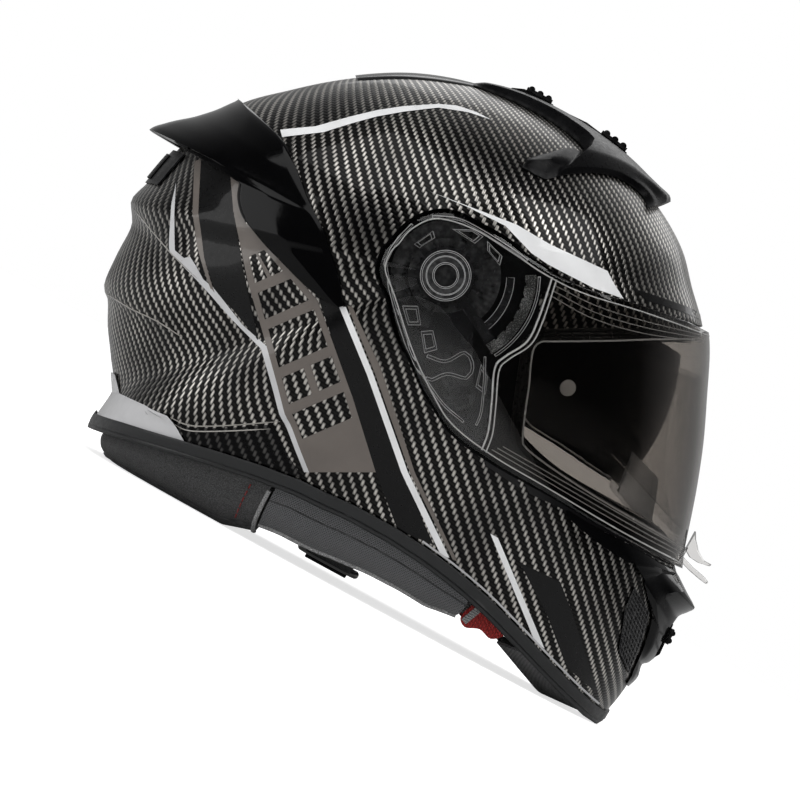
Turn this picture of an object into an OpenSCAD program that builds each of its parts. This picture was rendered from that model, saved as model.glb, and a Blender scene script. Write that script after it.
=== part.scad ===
// Full-face motorcycle helmet, 1:1, millimetres.
// +X is the wearer's forward, +Y the wearer's left, +Z up. It stands on z = 0.

/* [Shell] */
// Half the width of the outer shell at the ears
half_width = 128; // [118:0.5:136]
// Fore and aft place of the visor pivot
pivot_x = -11; // [-20:0.5:0]
// Height of the visor pivot
pivot_z = 157; // [145:0.5:170]
// Roundness of the shell's cross section, 2 being an ellipse
roundness = 2.2; // [2:0.05:2.6]
// Thickness of the laminate
shell_t = 3.5; // [2.5:0.1:5]
// Depth of the step that the visor lies in
visor_step = 4; // [3:0.5:6]
// Depth of the round pocket for the visor mechanism
pocket_step = 8; // [7:0.5:10]
// Radius of that pocket
pocket_r = 28; // [27:0.5:32]

/* [Padding] */
// Gap left between pieces that lie on each other
lay = 0.3; // [0.2:0.05:0.6]
// Depth of the impact liner's inner face below the outer surface
liner_depth = 41; // [34:0.5:46]
// Thickness of the crown pad
crown_pad_t = 8; // [5:0.5:12]

/* [Visor] */
// Thickness of the visor
visor_t = 2.2; // [1.8:0.1:3]
// How far the visor's ears stand out past the shell
visor_proud = 2.7; // [1:0.1:4]
// Radius of the post that the visor turns on
post_r = 6; // [4:0.25:8]
// Radial running clearance of pins in their bores
run = 0.06; // [0.03:0.01:0.1]
// Outer radius of the visor hub's core
hub_r = 12.5; // [10:0.5:15]
// Outer radius of the visor hub's flange
flange_r = 18; // [15:0.5:20]

/* [Sun visor] */
// Fore and aft place of its axis
sun_x = 19; // [15:0.5:24]
// Height of its axis
sun_z = 139; // [134:0.5:144]
// Room between the shell's front and the middle of the sun visor
sun_back = 14.2; // [12.5:0.1:16]
// Room between the shell's side and the ellipsoid that the sun visor is cut from
sun_side = 15.5; // [14:0.5:17]
// Thickness of the sun visor
sun_t = 2; // [1.6:0.1:2.6]
// Radius of its pivot pins
sun_pin_r = 4; // [3:0.25:5]

/* [Hardware] */
// Width of the chin strap webbing
strap_w = 25; // [22:0.5:28]
// Thickness of the chin strap webbing
strap_t = 2; // [1.5:0.1:3]
// Radius of the wire of the D-rings
ring_wire = 2; // [1.5:0.1:2.5]
// Depth of the rivets' heads below the shell's widest part
rivet_in = 18.4; // [17.5:0.1:19.5]

/* [Hidden] */
$fn = 48;
carbon = [0.11, 0.11, 0.12];
black = [0.05, 0.05, 0.055];
gloss = [0.03, 0.03, 0.03];
rubber = [0.09, 0.09, 0.09];
foam = [0.16, 0.16, 0.17];
fabric = [0.22, 0.22, 0.23];
clear = [0.8, 0.84, 0.86, 0.35];
smoke = [0.06, 0.06, 0.07, 0.8];
metal = [0.7, 0.71, 0.72];
red = [0.75, 0.09, 0.08];
pale = [0.8, 0.8, 0.78];

// Side outline of the outer shell, taken round from the chin over the crown; below the rim it only closes
// the loop.
outline = [[163, 15], [164.5, 40], [163.5, 62], [159, 86], [154.5, 97], [148, 118], [139.5, 142], [128,
  168],
  [113.5, 196], [99, 211.5], [86, 225.5], [68, 237.3], [44, 246.5], [15, 251.5], [-15, 252], [-45, 247.8],
  [-72, 238.5], [-98, 223], [-122, 203.5], [-142, 184], [-152, 166], [-157.5, 150], [-162, 130], [-165,
    116],
  [-160.5, 106], [-159, 90], [-156, 74], [-149, 60], [-138, 45], [-129, 30], [-130.5, 15], [-129, -8],
    [-115, -38],
  [-85, -66], [-40, -85], [20, -92], [85, -80], [130, -50], [152, -18]];
// Lower edge of the laminate, front to rear
rim_line = [[162.5, 4], [155, 4.4], [140, 8.3], [120, 14.5], [100, 21], [80, 27], [60, 31.3], [40, 34],
  [20, 35.2],
  [0, 35], [-20, 33.8], [-40, 31.5], [-60, 28], [-82, 23.5], [-110, 17.5], [-131.5, 13]];
// Outline of the visor, round its pivot from the chin, and of the opening that it covers
visor_line = [[157.5, 88.5], [120, 88], [80, 89.3], [50, 90], [25, 94], [10, 102], [-10, 117], [-30, 136],
  [-40, 145],
  [-41.5, 155], [-40, 160], [-37.5, 170], [-28.5, 181], [-10, 185], [12, 184], [30, 182.5], [50, 183.5],
    [80, 190],
  [110, 195.5], [116.5, 196.5]];
port_side = [[60, 106], [54, 119], [50, 130], [46, 140], [43.5, 148], [50, 153.5], [72, 166], [92, 178],
  [113, 190]];
port_foot = [[60, 106], [75, 101.5], [120, 98.5], [150, 97.5], [160, 97]];

function wrap(a) = a < -180 ? a + 360 : a >= 180 ? a - 360 : a;
function polar(p) = [atan2(p[1] - pivot_z, p[0] - pivot_x), norm([p[0] - pivot_x, p[1] - pivot_z])];
function turned(p, from) = let(q = polar(p)) [q[0] < from ? q[0] + 360 : q[0], q[1]];
ring = [for (p = outline) turned(p, polar(outline[0])[0] - 0.001)];
n_ring = len(ring);
knots = concat([[ring[n_ring - 1][0] - 360, ring[n_ring - 1][1]]], ring,
  [[ring[0][0] + 360, ring[0][1]], [ring[1][0] + 360, ring[1][1]]]);
function slope(i) = (knots[i + 1][1] - knots[i - 1][1]) / (knots[i + 1][0] - knots[i - 1][0]);
function hermite(i, a) = let(h = knots[i + 1][0] - knots[i][0], t = (a - knots[i][0]) / h)
  (1 + 2 * t) * (1 - t) * (1 - t) * knots[i][1] + t * (1 - t) * (1 - t) * h * slope(i)
  + t * t * (3 - 2 * t) * knots[i + 1][1] + t * t * (t - 1) * h * slope(i + 1);
function span(a, i = 1) = i >= len(knots) - 2 || a < knots[i + 1][0] ? min(i, len(knots) - 3) : span(a,
  i + 1);
function into(a) = a < knots[1][0] ? into(a + 360) : a >= knots[1][0] + 360 ? into(a - 360) : a;
// Distance from the pivot to the outline in the direction a
function reach(a) = let(b = into(a)) hermite(span(b), b);

function bow(s) = pow(max(0, 1 - pow(s, roundness)), 1 / roundness);
function tilt(s) = acos(min(1, pow(max(0, s), roundness / 2)));
function untilt(t) = t < 0.01 ? 1 : pow(max(0, cos(t)), 2 / roundness);
function fine(p) = [for (v = p) round(v * 1000) / 1000];
// Point on the surface that lies d inside the outer one, on the left side; k scales d across the helmet.
function on(a, s, d, k = 1) = let(r = (reach(a) - d) * s)
  fine([pivot_x + r * cos(a), (half_width - k * d) * bow(s), pivot_z + r * sin(a)]);
function on_rim(s) = let(q = polar(s)) q[1] > reach(q[0]) - 1;
function flat_at(p, d) = let(q = polar(p), r = min(q[1], reach(q[0])) - d)
  fine([pivot_x + r * cos(q[0]), 0, pivot_z + r * sin(q[0])]);
function level_at(p, d, flat) = let(q = flat ? flat_at(p, 0) : at(p, 0), g = [q[0] / 165 / 165,
  q[1] / 120 / 120])
  fine(q - d * [g[0], g[1], 0] / norm(g));
function at(p, d, k = 1) = let(q = polar(p)) on(q[0], min(1, q[1] / reach(q[0])), d, k);
// Radius along the direction a of a line of side-view points whose directions grow
function cut(a, line, from = -180) = lookup(a, [for (p = line) turned(p, from)]);

// One column of a skin: stops are [radius, outer depth, inner depth], with so many steps between each two.
function column(a, stops, steps, k) = let(w = reach(a)) concat(
  [for (m = [0:len(steps) - 1]) for (j = [0:steps[m] - 1]) let(u = j / steps[m], p = stops[m],
    q = stops[m + 1],
    t = tilt(p[0] / w) + u * (tilt(q[0] / w) - tilt(p[0] / w)))
    [untilt(t), p[1] + u * (q[1] - p[1]), p[2] + u * (q[2] - p[2])]],
  [let(e = stops[len(steps)]) [untilt(tilt(e[0] / w)), e[1], e[2]]]);

function same(p, q) = abs(p[0] - q[0]) + abs(p[1] - q[1]) + abs(p[2] - q[2]) < 0.002;
function tri(v, f) = same(v[f[0]], v[f[1]]) || same(v[f[1]], v[f[2]]) || same(v[f[2]], v[f[0]]) ? [] : [f];
function quad(v, f) = concat(tri(v, [f[0], f[1], f[2]]), tri(v, [f[0], f[2], f[3]]));
function flip(f) = [f[2], f[1], f[0]];
function middle(p) = abs(p[1]) < 0.002;

// Closed skin over columns of points; gone(i, j) names left-out cells. Both sides are made when both is
// true.
module skin(outer, inner, around = false, both = true, left = true, gone = function(i, j, m) false) {
  n = len(outer);
  m = len(outer[0]);
  last = around ? n - 1 : n - 2;
  v1 = concat([for (c = outer) each c], [for (c = inner) each c]);
  o = function(i, j) (i % n) * m + j;
  q = function(i, j) n * m + (i % n) * m + j;
  shut = function(i, j, h) j < 0 || j > m - 2 || (!around && (i < 0 || i > n - 2)) || gone((i + n) % n, j,
    h);
  seam = function(a, b) both && middle(v1[a]) && middle(v1[b]);
  faces = function(h) [for (i = [0:last]) for (j = [0:m - 2]) if (!shut(i, j, h)) each concat(
    quad(v1, [o(i, j), o(i, j + 1), o(i + 1, j + 1), o(i + 1, j)]),
    quad(v1, [q(i, j), q(i + 1, j), q(i + 1, j + 1), q(i, j + 1)]),
    shut(i, j - 1, h) && !seam(o(i, j), o(i + 1, j)) ? quad(v1, [o(i, j), o(i + 1, j), q(i + 1, j), q(i,
      j)]) : [],
    shut(i, j + 1, h) && !seam(o(i, j + 1), o(i + 1, j + 1))
      ? quad(v1, [o(i + 1, j + 1), o(i, j + 1), q(i, j + 1), q(i + 1, j + 1)]) : [],
    shut(i - 1, j, h) ? quad(v1, [o(i, j + 1), o(i, j), q(i, j), q(i, j + 1)]) : [],
    shut(i + 1, j, h) ? quad(v1, [o(i + 1, j), o(i + 1, j + 1), q(i + 1, j + 1), q(i + 1, j)]) : [])];
  v2 = [for (p = v1) [p[0], -p[1], p[2]]];
  f1 = faces(1);
  f2 = [for (f = faces(0)) flip(f)];
  k = len(v1);
  if (both) polyhedron(concat(v1, v2), concat(f1, [for (f = f2) [f[0] + k, f[1] + k, f[2] + k]]),
    convexity = 8);
  else if (left) polyhedron(v1, f1, convexity = 8);
  else polyhedron(v2, f2, convexity = 8);
}

// A skin given by directions, stops and steps
module panel(angles, stops, steps, around = false, both = true, left = true, k = 1, gone = function(i, j,
  m) false) {
  cols = [for (a = angles) let(c = column(a, stops(a), steps, k)) [
    [for (e = c) on(a, e[0], e[1], k)], [for (e = c) on(a, e[0], e[2], k)]]];
  skin([for (c = cols) c[0]], [for (c = cols) c[1]], around, both, left, gone);
}

// A bar of the given section swept along side-view stations [x, z, nx, nz]; a section point is [offset,
// depth].
module sweep(stations, section, both = true, left = true, k = 1, level = false) {
  n = len(stations);
  m = len(section);
  v1 = [for (i = [0:n - 1]) for (c = section) let(s = stations[i], p = [s[0] + s[2] * c[0],
    s[1] + s[3] * c[0]])
    both && (i == 0 || i == n - 1) && on_rim(s) ? (level ? level_at(p, c[1], true) : flat_at(p, c[1]))
    : level ? level_at(p, c[1], false) : at(p, c[1], k)];
  caps = concat(middle(v1[0]) && both ? [] : [for (j = [1:m - 2]) [0, j + 1, j]],
    middle(v1[(n - 1) * m]) && both ? [] : [for (j = [1:m - 2]) [(n - 1) * m, (n - 1) * m + j,
      (n - 1) * m + j + 1]]);
  f1 = concat([for (i = [0:n - 2]) for (j = [0:m - 1]) let(j2 = (j + 1) % m)
    each quad(v1, [i * m + j, i * m + j2, (i + 1) * m + j2, (i + 1) * m + j])], caps);
  v2 = [for (p = v1) [p[0], -p[1], p[2]]];
  k2 = len(v1);
  if (both) polyhedron(concat(v1, v2), concat(f1, [for (f = f1) [f[2] + k2, f[1] + k2, f[0] + k2]]),
    convexity = 6);
  else if (left) polyhedron(v1, f1, convexity = 6);
  else polyhedron(v2, [for (f = f1) flip(f)], convexity = 6);
}

port_low = polar(port_side[0])[0];
port_mid = -20.3;
port_top = 15.4;
rim_front = polar(rim_line[0])[0];
rim_rear = polar(rim_line[len(rim_line) - 1])[0] + 360;
big = 400;
function rim(a) = let(b = into(a)) b > rim_rear && b < rim_front + 360 ? cut(b,
  [for (i = [len(rim_line) - 1:-1:0])
  rim_line[i]], 0) : big;
function edge(a) = min(reach(a), rim(a));
function visor_edge(a) = let(b = a < -22 ? a + 360 : a) b > 17.2 && b < 337.8 ? max(27.5, lookup(b,
  [for (i = [1:len(visor_line)]) let(j = len(visor_line) - i) turned(visor_line[j], 0)])) : big;
function step_edge(a) = min(reach(a), max(pocket_r + 1, visor_edge(a) + 1.5));
function port_in(a) = a > port_low && a < port_top ? min(reach(a), cut(a, port_side, -90)) : big;
function port_out(a) = a > port_low && a < port_mid ? min(reach(a), cut(a, port_foot, -90)) : big;
function pocket(a) = let(b = a > 180 ? a - 360 : a) min(max(pocket_r, lookup(b, [[-77, 0], [-76, 46], [-68,
  52],
  [-63, 66], [-47, 66], [-42, 52], [-36, 46], [40, 46], [41, 0]])), step_edge(a) - 1);

front_angles = [rim_front, -38.5, port_low, -32, -28.5, -25.5, -23.2, -22.2, -21.3, -20.8, port_mid, -14.5,
  -8.6, -3, 3,
  9, 12.5, 14.2, 15.1, port_top, 17.3];
back_angles = [18.2, 20, 23, 27, 32, 40, 51, 64, 78, 92, 106, 120, 133, 145, 155, 164, 172, 180, 188, 197,
  206,
  214, 221, 226, rim_rear, rim_rear + 0.4, rim_rear + 0.7, rim_rear + 1, rim_rear + 1.5, rim_rear + 2,
    rim_rear + 4.5,
  rim_rear + 9, 247, 259, 271, 284, 297, 308, rim_front + 356, rim_front + 357.2, rim_front + 358.2,
  rim_front + 359.3];
shell_angles = concat(front_angles, back_angles);

function shell_stops(a) = let(s = step_edge(a), w = edge(a), p = pocket(a),
  low = s + 1.2 >= w ? visor_step : 0,
    flat = p > pocket_r + 1 || s > pocket_r + 9 ? visor_step : pocket_step,
    q = s < p + 3 ? s : p + 2, r1 = a >= port_low && a <= port_top ? min(port_in(a),
      a == port_low ? 87.4 : big) : q + 0.8 * (s - q),
    r2 = a >= port_low && a <= port_top ? min(w, a == port_low ? 87.4 : a < port_mid ? port_out(a) : big)
      : q + 0.86 * (s - q), r3 = min(s + 1.2, w))
  [for (e = [[0, pocket_step], [p, pocket_step], [q, flat], [r1, flat], [r2, flat], [min(s, w), flat],
    [r3, low], [rim(a) < reach(a) ? max(w - 7, r3) : reach(a) * untilt(tilt(r3 / reach(a)) / 5), low], [w,
      low]])
    [e[0], e[1], e[1] + shell_t]];
shell_steps = [1, 1, 4, 1, 3, 1, 4, 2];
port_row = 6;
port_first = search(port_low, shell_angles)[0];
port_last = search(port_top, shell_angles)[0];
// Cell of the skin that is the hole for the sun visor's slider
cable_cell = search(297, shell_angles)[0];
cable_row = 12;

module outer_shell() color(carbon)
  panel(shell_angles, function(a) shell_stops(a), shell_steps, around = true,
    gone = function(i, j, m) (i >= port_first && i < port_last && j == port_row)
      || (m == 1 && i == cable_cell && j == cable_row));

// Depth of the impact liner's outer face, clear of the sun visor's sweep and of the pocket
function liner_out(a, r) = let(b = a > 180 ? a - 360 : a) b > -64 && b < 53
  ? lookup(r, [[0, 24], [45, 24], [75, 21], [105, 17.5], [125, 15.5]])
  : r < step_edge(a) + 3 ? 24 : b > -98 && b <= -64 ? 12.5 : shell_t + 1.4;
function liner_edge(a) = let(b = a > 180 ? a - 360 : a) b > 17 ? reach(a)
  : b > -60 ? min(reach(a), lookup(b, [[-60, 128], [-50, 101], [-42, 86], [-36, 78], [-30, 70], [-24, 62],
    [-16, 55.5],
    [-8.4, 50.5], [-3.5, 57], [2, 70], [6.5, 80], [11.5, 101], [15, 120], [17, 133]]))
  : min(reach(a), max(40, rim(a) - 13));
liner_angles = concat([-60, -50, -42, -34, -26, -17, -8.4, -3, 4, 9, 13, 15.5, 17], [20, 24, 32, 42, 52.5,
  55, 66, 78, 92,
  106, 120, 133, 145, 155, 164, 172, 180, 188, 197, 206, 214, 221, 226, rim_rear + 0.01, 231.5, 235, 241,
    250, 260, 263, 275, 287, 294,
  296]);
module impact_liner() color(foam)
  panel(liner_angles, function(a) let(w = liner_edge(a), s = min(step_edge(a) + 3.5, w - 8))
    [for (r = [0, s, min(s + 4, w - 3), w]) [r, liner_out(a, max(0, r - 1)), liner_depth]], [2, 1, 4],
      around = true);

// Pads are cushions whose inner face bulges by h in the middle of the u and v ranges.
function crown(u, v, p = 4) = pow(max(0, 1 - pow(abs(2 * u - 1), p)), 0.5) * pow(max(0,
  1 - pow(abs(2 * v - 1), p)), 0.5);
module pad(a0, a1, n, m, start, stop, d0, thin, h, both, left = true) {
  step = (a1 - a0) / n;
  cols = [for (i = [0:n]) let(a = a0 + i * step, w = reach(a), t0 = tilt(start(a) / w),
    t1 = tilt(stop(a) / w))
    [for (j = [0:m]) let(v = both ? j / m / 2 : j / m, s = untilt(t0 + (t1 - t0) * j / m), b = crown(i / n,
      v))
      [on(a, s, d0(a)), on(a, s, d0(a) + thin + h * b)]]];
  skin([for (c = cols) [for (e = c) e[0]]], [for (c = cols) [for (e = c) e[1]]], false, both, left);
}
module crown_pad() color(fabric)
  pad(24, 196, 15, 6, function(a) lookup(a, [[24, 62], [50, 46], [110, 42], [196, 62]]),
    function(a) reach(a),
    function(a) liner_depth + 3, 3, crown_pad_t, true);
module cheek_pad(left) color(fabric)
  pad(-122, -40, 11, 9, function(a) 36, function(a) a > -44 ? liner_edge(a) - 4 : min(liner_edge(a) + 34,
    rim(a) + 22), function(a) liner_depth + 1.2,
    8, 17, false, left);
module cheek_pad_left() cheek_pad(true);
module cheek_pad_right() cheek_pad(false);

// Stations along the lower edge of the shell
rim_angles = concat([for (a = back_angles) if (a >= rim_rear) a], [rim_front + 360]);
function rim_point(a) = let(r = edge(a)) [pivot_x + r * cos(a), pivot_z + r * sin(a)];
function edge_stations(list, f) = [for (a = list) let(p = rim_point(a)) [p[0], p[1], 0, -f(p[0], p[1])]];
module base_trim() color(rubber)
  sweep(edge_stations(rim_angles, function(x, z) 1), [[-5, -2.8], [-2.3, -2.6], [2.5, -2.1], [4, -0.3],
    [4, shell_t + 0.3], [2.5, 6], [-3, 6], [-3, shell_t + 1.3], [0.3, shell_t + 0.8], [0.3, -0.7],
    [-2.3, -1.3], [-5, -1.7]]);

roll_angles = [rim_rear, rim_rear + 1, rim_rear + 3, rim_rear + 7, rim_rear + 12, 248, 254, 258];
module neck_roll() color(fabric)
  sweep(edge_stations(roll_angles, function(x, z) x < -55 ? z / 20 : z / lookup(x, [[-55, 20], [-35, 24]])),
    [[-9, 9], [6, 7], [12, 8], [17, 11], [20, 17], [20, 23], [17, 29], [11, 33], [0, 34], [-9, 33]],
      level = true);
side_angles = [259, 263, 269, 275, 281, 287, 293, 299, 304];
module neck_panel(left) color(fabric)
  sweep(edge_stations(side_angles, function(x, z) lookup(x, [[-45, 1.22], [0, 1.25], [60, 0.95], [85,
    0.5]])),
    [[5.2, 6.8], [10, 7], [16, 9], [20, 14], [20, 18], [15, 23], [8, 25], [0, 25], [-1, 8.5], [2, 6.8]],
      false, left,
    level = true);
module neck_panel_left() neck_panel(true);
module neck_panel_right() neck_panel(false);

// Liner of the chin bar, between the opening and the rim
chin_angles = [-59, -52, -46, rim_front, -38, -34, -30, -27, -24.8, -23.6, -22.8];
module chin_liner() color(foam)
  panel(chin_angles, function(a) let(w = edge(a), r0 = a > port_low ? cut(a, port_foot,
    -90) + 16 : lookup(a,
    [[-59, 134], [-52, 115], [-46, 106], [-41, 102], [-35.7, 102]]), r1 = max(r0 + 1,
      a < rim_front ? w - 9 : w))
    [[r0, visor_step + shell_t + 3, 18], [r0 + 0.35 * (r1 - r0), visor_step + shell_t + 2.2, 24],
    [r1, visor_step + shell_t + 2.2, 24]], [2, 5]);

// Seal round the eye port, and the rubber lip that deflects the breath
seal_stations = [[116.5, 192.2, 0, 0.3], [114.1, 190.9, -0.03, 0.32], [108, 187.3, -0.1, 0.36], [100, 182.6, -0.15, 0.5],
  [92, 177.9, -0.25, 0.65], [72, 166, -0.45, 0.9], [56, 157, -0.6, 0.8],
  [47, 152, -0.9, 0.5], [43.5, 147, -1, 0], [46, 140, -1, -0.1], [50, 130, -1, -0.25], [54, 119, -0.95,
    -0.35],
  [58, 110.5, -0.9, -0.5], [63, 105, -0.6, -0.8], [75, 101.5, -0.25, -0.97], [98, 99.8, -0.08, -1], [120,
    98.5, -0.05, -1],
  [133, 98.1, -0.05, -1], [142, 97.8, -0.04, -1], [148, 97.6, -0.03, -1], [151.8, 97.4, -0.02, -1],
  [153.8, 97.3, 0, -1], [161, 97.2, 0, -1]];
module eye_port_seal() color(rubber)
  sweep(seal_stations, [[0.8, visor_step - 1.2], [0.8, 1.9], [6.5, 1.9], [6.5, visor_step - 1.2]]);
module breath_deflector() color(black)
  panel([-22.7, -21, -19, -16.5, -14.5], function(a) let(r = lookup(a, [[-22.7, 150], [-14.5, 142]]))
    [[r, 20, 21.2], [reach(a), 20, 21.2]], [6]);

// Visor: an ear round each pivot and one curved pane between them
visor_angles = concat([-22, -20.5, -18, -14, -9, -4, 2, 8, 12, 15, 16.6, 17.1], [18.2, 20, 23, 27, 32, 42,
  60, 85, 110, 135,
  160, 185, 210, 232, 252, 271, 284, 293, 301, 309, 316, 323, 329, 333, 336, 337.6]);
function visor_end(a) = min(reach(a), visor_edge(a));
module visor() color(clear)
  panel(visor_angles, function(a) let(w = visor_end(a), q = min(60, 0.6 * w)) [for (r = [hub_r + 1.2, q, w])
    let(d = -lookup(r, [[60, visor_proud], [150, 3]])) [r, d, d + visor_t]], [1, 6], around = true);
function lens_end(a) = lookup(a, [[-22, 141], [-17, 150], [8, 126], [12, 122]]);
lens_angles = [-18.5, -17, -13, -8, -3, 2, 5.5, 7.5];
module antifog_lens() color(clear)
  panel(lens_angles, function(a) let(r0 = lookup(a, [[-18.5, 112], [-17, 93], [-14, 84.5], [-8, 79], [2,
    78], [5.5, 86],
    [7.5, 104]]), d = -3 + visor_t + 1.1) [[r0, d + 0.7, d + 1.9], [reach(a), d, d + 1.2]], [6]);

// Rear spoiler, closed over the shell and drawn out to a blade behind
spoiler_top = [[-140, 186], [-131, 183.6], [-122, 181], [-114, 178.7], [-108, 176], [-90, 161], [-70, 146],
  [-52, 128], [-46, 121]];
spoiler_foot = [[-151.8, 152.3], [-143, 151.4], [-133, 150.7], [-123, 150.3], [-117, 149.5], [-116, 145],
  [-110, 137], [-100, 132], [-80, 125], [-62, 120],
  [-49, 119]];
spoiler_angles = [167.3, 167.5, 167.8, 168.2, 169, 171, 174, 177, 179.6, 181.6, 181.95, 182.4, 182.95,
  183.4, 184.1, 186.5,
  192, 199, 206, 213, 219.5, 225];
module rear_spoiler() color(gloss)
  panel(spoiler_angles, function(a) let(w = reach(a), r0 = lookup(a, [for (p = spoiler_top) turned(p, 0)]),
    r1 = a < 181.7 ? w : max(r0 + 1.5, lookup(a, [for (p = spoiler_foot) turned(p, 0)])),
      rm = r0 + 0.6 * (r1 - r0),
    up = lookup(a, [[167.3, 2.3], [171, 3], [175, 6.5], [179, 14], [181.6, 18.2], [181.95, 6], [184, 5],
      [188, 4], [225, 2.4]]))
    [[r0, -2.2, -1.5], [rm, -2.6 - min(2.5, up * 0.4), -1.6], [r1, -up - 0.3, -max(1.5,
      a > 174 && a < 181.7 ? up - 3.2 : 0)]],
    [2, 5]);
module rear_exhaust() color(black)
  panel([183, 185, 188, 190.5], function(a) [[reach(a) * 0.955, -1.2, -lay], [reach(a), -1.8, -lay]], [4]);

// Top vent housing with its two swept arms
vent_angles = [47.5, 49, 52, 55, 58.5, 63, 68, 71.5, 75, 79, 83.5, 88, 94, 100, 106, 110];
module top_vent() color(black)
  panel(vent_angles, function(a) let(w = reach(a), r0 = lookup(a, [[47.5, 104], [49.5, 105.5], [58.4,
    97.2], [62.7, 89.5],
    [68.1, 77.6], [73.3, 66.5], [83.5, 64]]), ra = lookup(a, [[71.4, 90], [75, 86], [78.5, 78], [83.5,
      69]]),
    rb = lookup(a, [[71.4, 92], [75, w * 0.95], [83.5, w * 0.965], [110, w * 0.985]]), up = lookup(a,
    [[47.5, 1.2], [50, 4.5], [56, 6], [66, 6.4], [90, 5.8], [106, 3.5], [110, 1.2]]), fork = a > 71.4,
    r1 = fork ? min(ra, w * 0.9) : r0 + 0.3 * (w - r0), r2 = fork ? rb : r0 + 0.55 * (w - r0))
    [[min(r0, r1 - 2), -1, -lay], [(r0 + r1) / 2, -3.5, -lay], [r1, fork ? -1.2 : -4.5, -lay],
    [r2, fork ? -1.2 : -up, -lay], [r2 + 0.3 * (w - r2), -up, -lay], [w, -up, -lay]], [1, 1, 1, 1, 2],
    gone = function(i, j, m) (i >= 7 && j == 2) || (i >= 10 && j < 2));

// Chin vent: a nose piece with two swept wings under the visor, and the grille behind its edge
chin_vent_angles = [-37.2, -35.6, -34.6, -33.4, -31.6, -29.4, -28, -26.4, -25.2, -24.1, -23.7, -23.2];
module chin_vent() color(black)
  panel(chin_vent_angles, function(a) let(w = reach(a),
    r0 = lookup(a, [[-37.2, 216], [-35.8, 210], [-34.3, 127], [-33.8, 127], [-27.8, 152.5],
    [-26.4, 160.5], [-25.2, 167.5], [-24.5, 172.5], [-23.9, 176.5], [-23.2, 181]]),
    r1 = lookup(a, [[-34.9, 127], [-31.4, 148], [-28.3, 165]]), r2 = min(w - 2.5, lookup(a, [[-37.2, 219],
      [-35.8, 213],
    [-33.2, 205], [-30, 194], [-28.3, 176], [-25.2, 178], [-24.4, 180], [-23.2, 183]])), up = lookup(a,
      [[-37.2, 1.2], [-35.5, 3.2], [-34.4, 1.6],
    [-33.4, 4.6], [-31.6, 7], [-29.4, 6.8], [-26.9, 8.5], [-25.2, 13.5], [-24.1, 16.4], [-23.7, 9.5],
      [-23.2, 2]]),
    wing = a < -28.4)
    [[min(r0, r2 - 3), -1, -lay], [wing ? max(r1, r0 + 3) : r0 + 0.5 * (r2 - r0), -2.5, -lay], [r2, -1.2,
      -lay],
    [r2 + 0.35 * (w - r2), -0.6 * up - 0.4, -lay], [w, -up, -lay]], [1, 1, 1, 3],
    gone = function(i, j, m) (i < 6 && j == 1) || (i < 2 && j < 1));
mesh_angles = [-36.5, -35, -33.4, -31.6, -30];
module chin_mesh(left) color(black)
  panel(mesh_angles, function(a) let(r2 = lookup(a, [[-37.2, 218], [-35.8, 212], [-33.2, 204], [-30, 192]]))
    [[lookup(a, [[-36.5, 200], [-33, 183], [-30, 176]]), -0.9, -lay], [r2 - 1.5, -0.9, -lay]], [3], false,
      false, left);
module chin_mesh_left() chin_mesh(true);
module chin_mesh_right() chin_mesh(false);

// Plain pieces are drawn on the left side, y0 to y1 out from the middle, over a side-view shape.
module plate(y0, y1) translate([0, y1, 0]) rotate([90, 0, 0]) linear_extrude(y1 - y0) children();
module disc(x, z, r, y0, y1) plate(y0, y1) translate([x, z]) circle(r);
module side(left) mirror([0, left ? 0 : 1, 0]) children();
function arc(cx, cz, r, a0, a1, n) = [for (i = [0:n]) let(a = a0 + (a1 - a0) * i / n) [cx + r * cos(a),
  cz + r * sin(a)]];
module link(p, q, w0, w1) {
  u = (q - p) / norm(q - p);
  v = [-u[1], u[0]];
  polygon([p + v * w0 / 2, q + v * w1 / 2, q - v * w1 / 2, p - v * w0 / 2]);
}

// Visor mechanism, from the pocket floor outward
floor_y = half_width - pocket_step;
plate_y = floor_y + lay;
plate_t = 2.8;
hub_y = plate_y + plate_t + lay;
ear_in = half_width + visor_proud - visor_t;
plate_r = pocket_r - 1.5;
screw_p = [22, 110];
top_screw_p = [pivot_x, pivot_z + 22.5];
lever_p = [pivot_x - 13.5, pivot_z - 17.5];
lever_pin_r = 2;
lever_t = 1.4;
module base_plate() difference() {
  union() {
    disc(pivot_x, pivot_z, plate_r, plate_y, plate_y + plate_t);
    disc(pivot_x, pivot_z, post_r, plate_y, ear_in - 1);
    disc(lever_p[0], lever_p[1], lever_pin_r, plate_y, hub_y + 2.2);
    plate(plate_y, plate_y + plate_t) difference() {
      link([pivot_x, pivot_z], screw_p, 26, 13);
      translate([pivot_x, pivot_z]) circle(plate_r - 1);
    }
    disc(screw_p[0], screw_p[1], 7.5, plate_y, plate_y + plate_t);
  }
  disc(screw_p[0], screw_p[1], 2.1, plate_y - 1, plate_y + plate_t + 1);
  disc(top_screw_p[0], top_screw_p[1], 1.6, plate_y - 1, plate_y + plate_t + 1);
}
module base_plate_left() color(rubber) side(true) base_plate();
module base_plate_right() color(rubber) side(false) base_plate();

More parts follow.
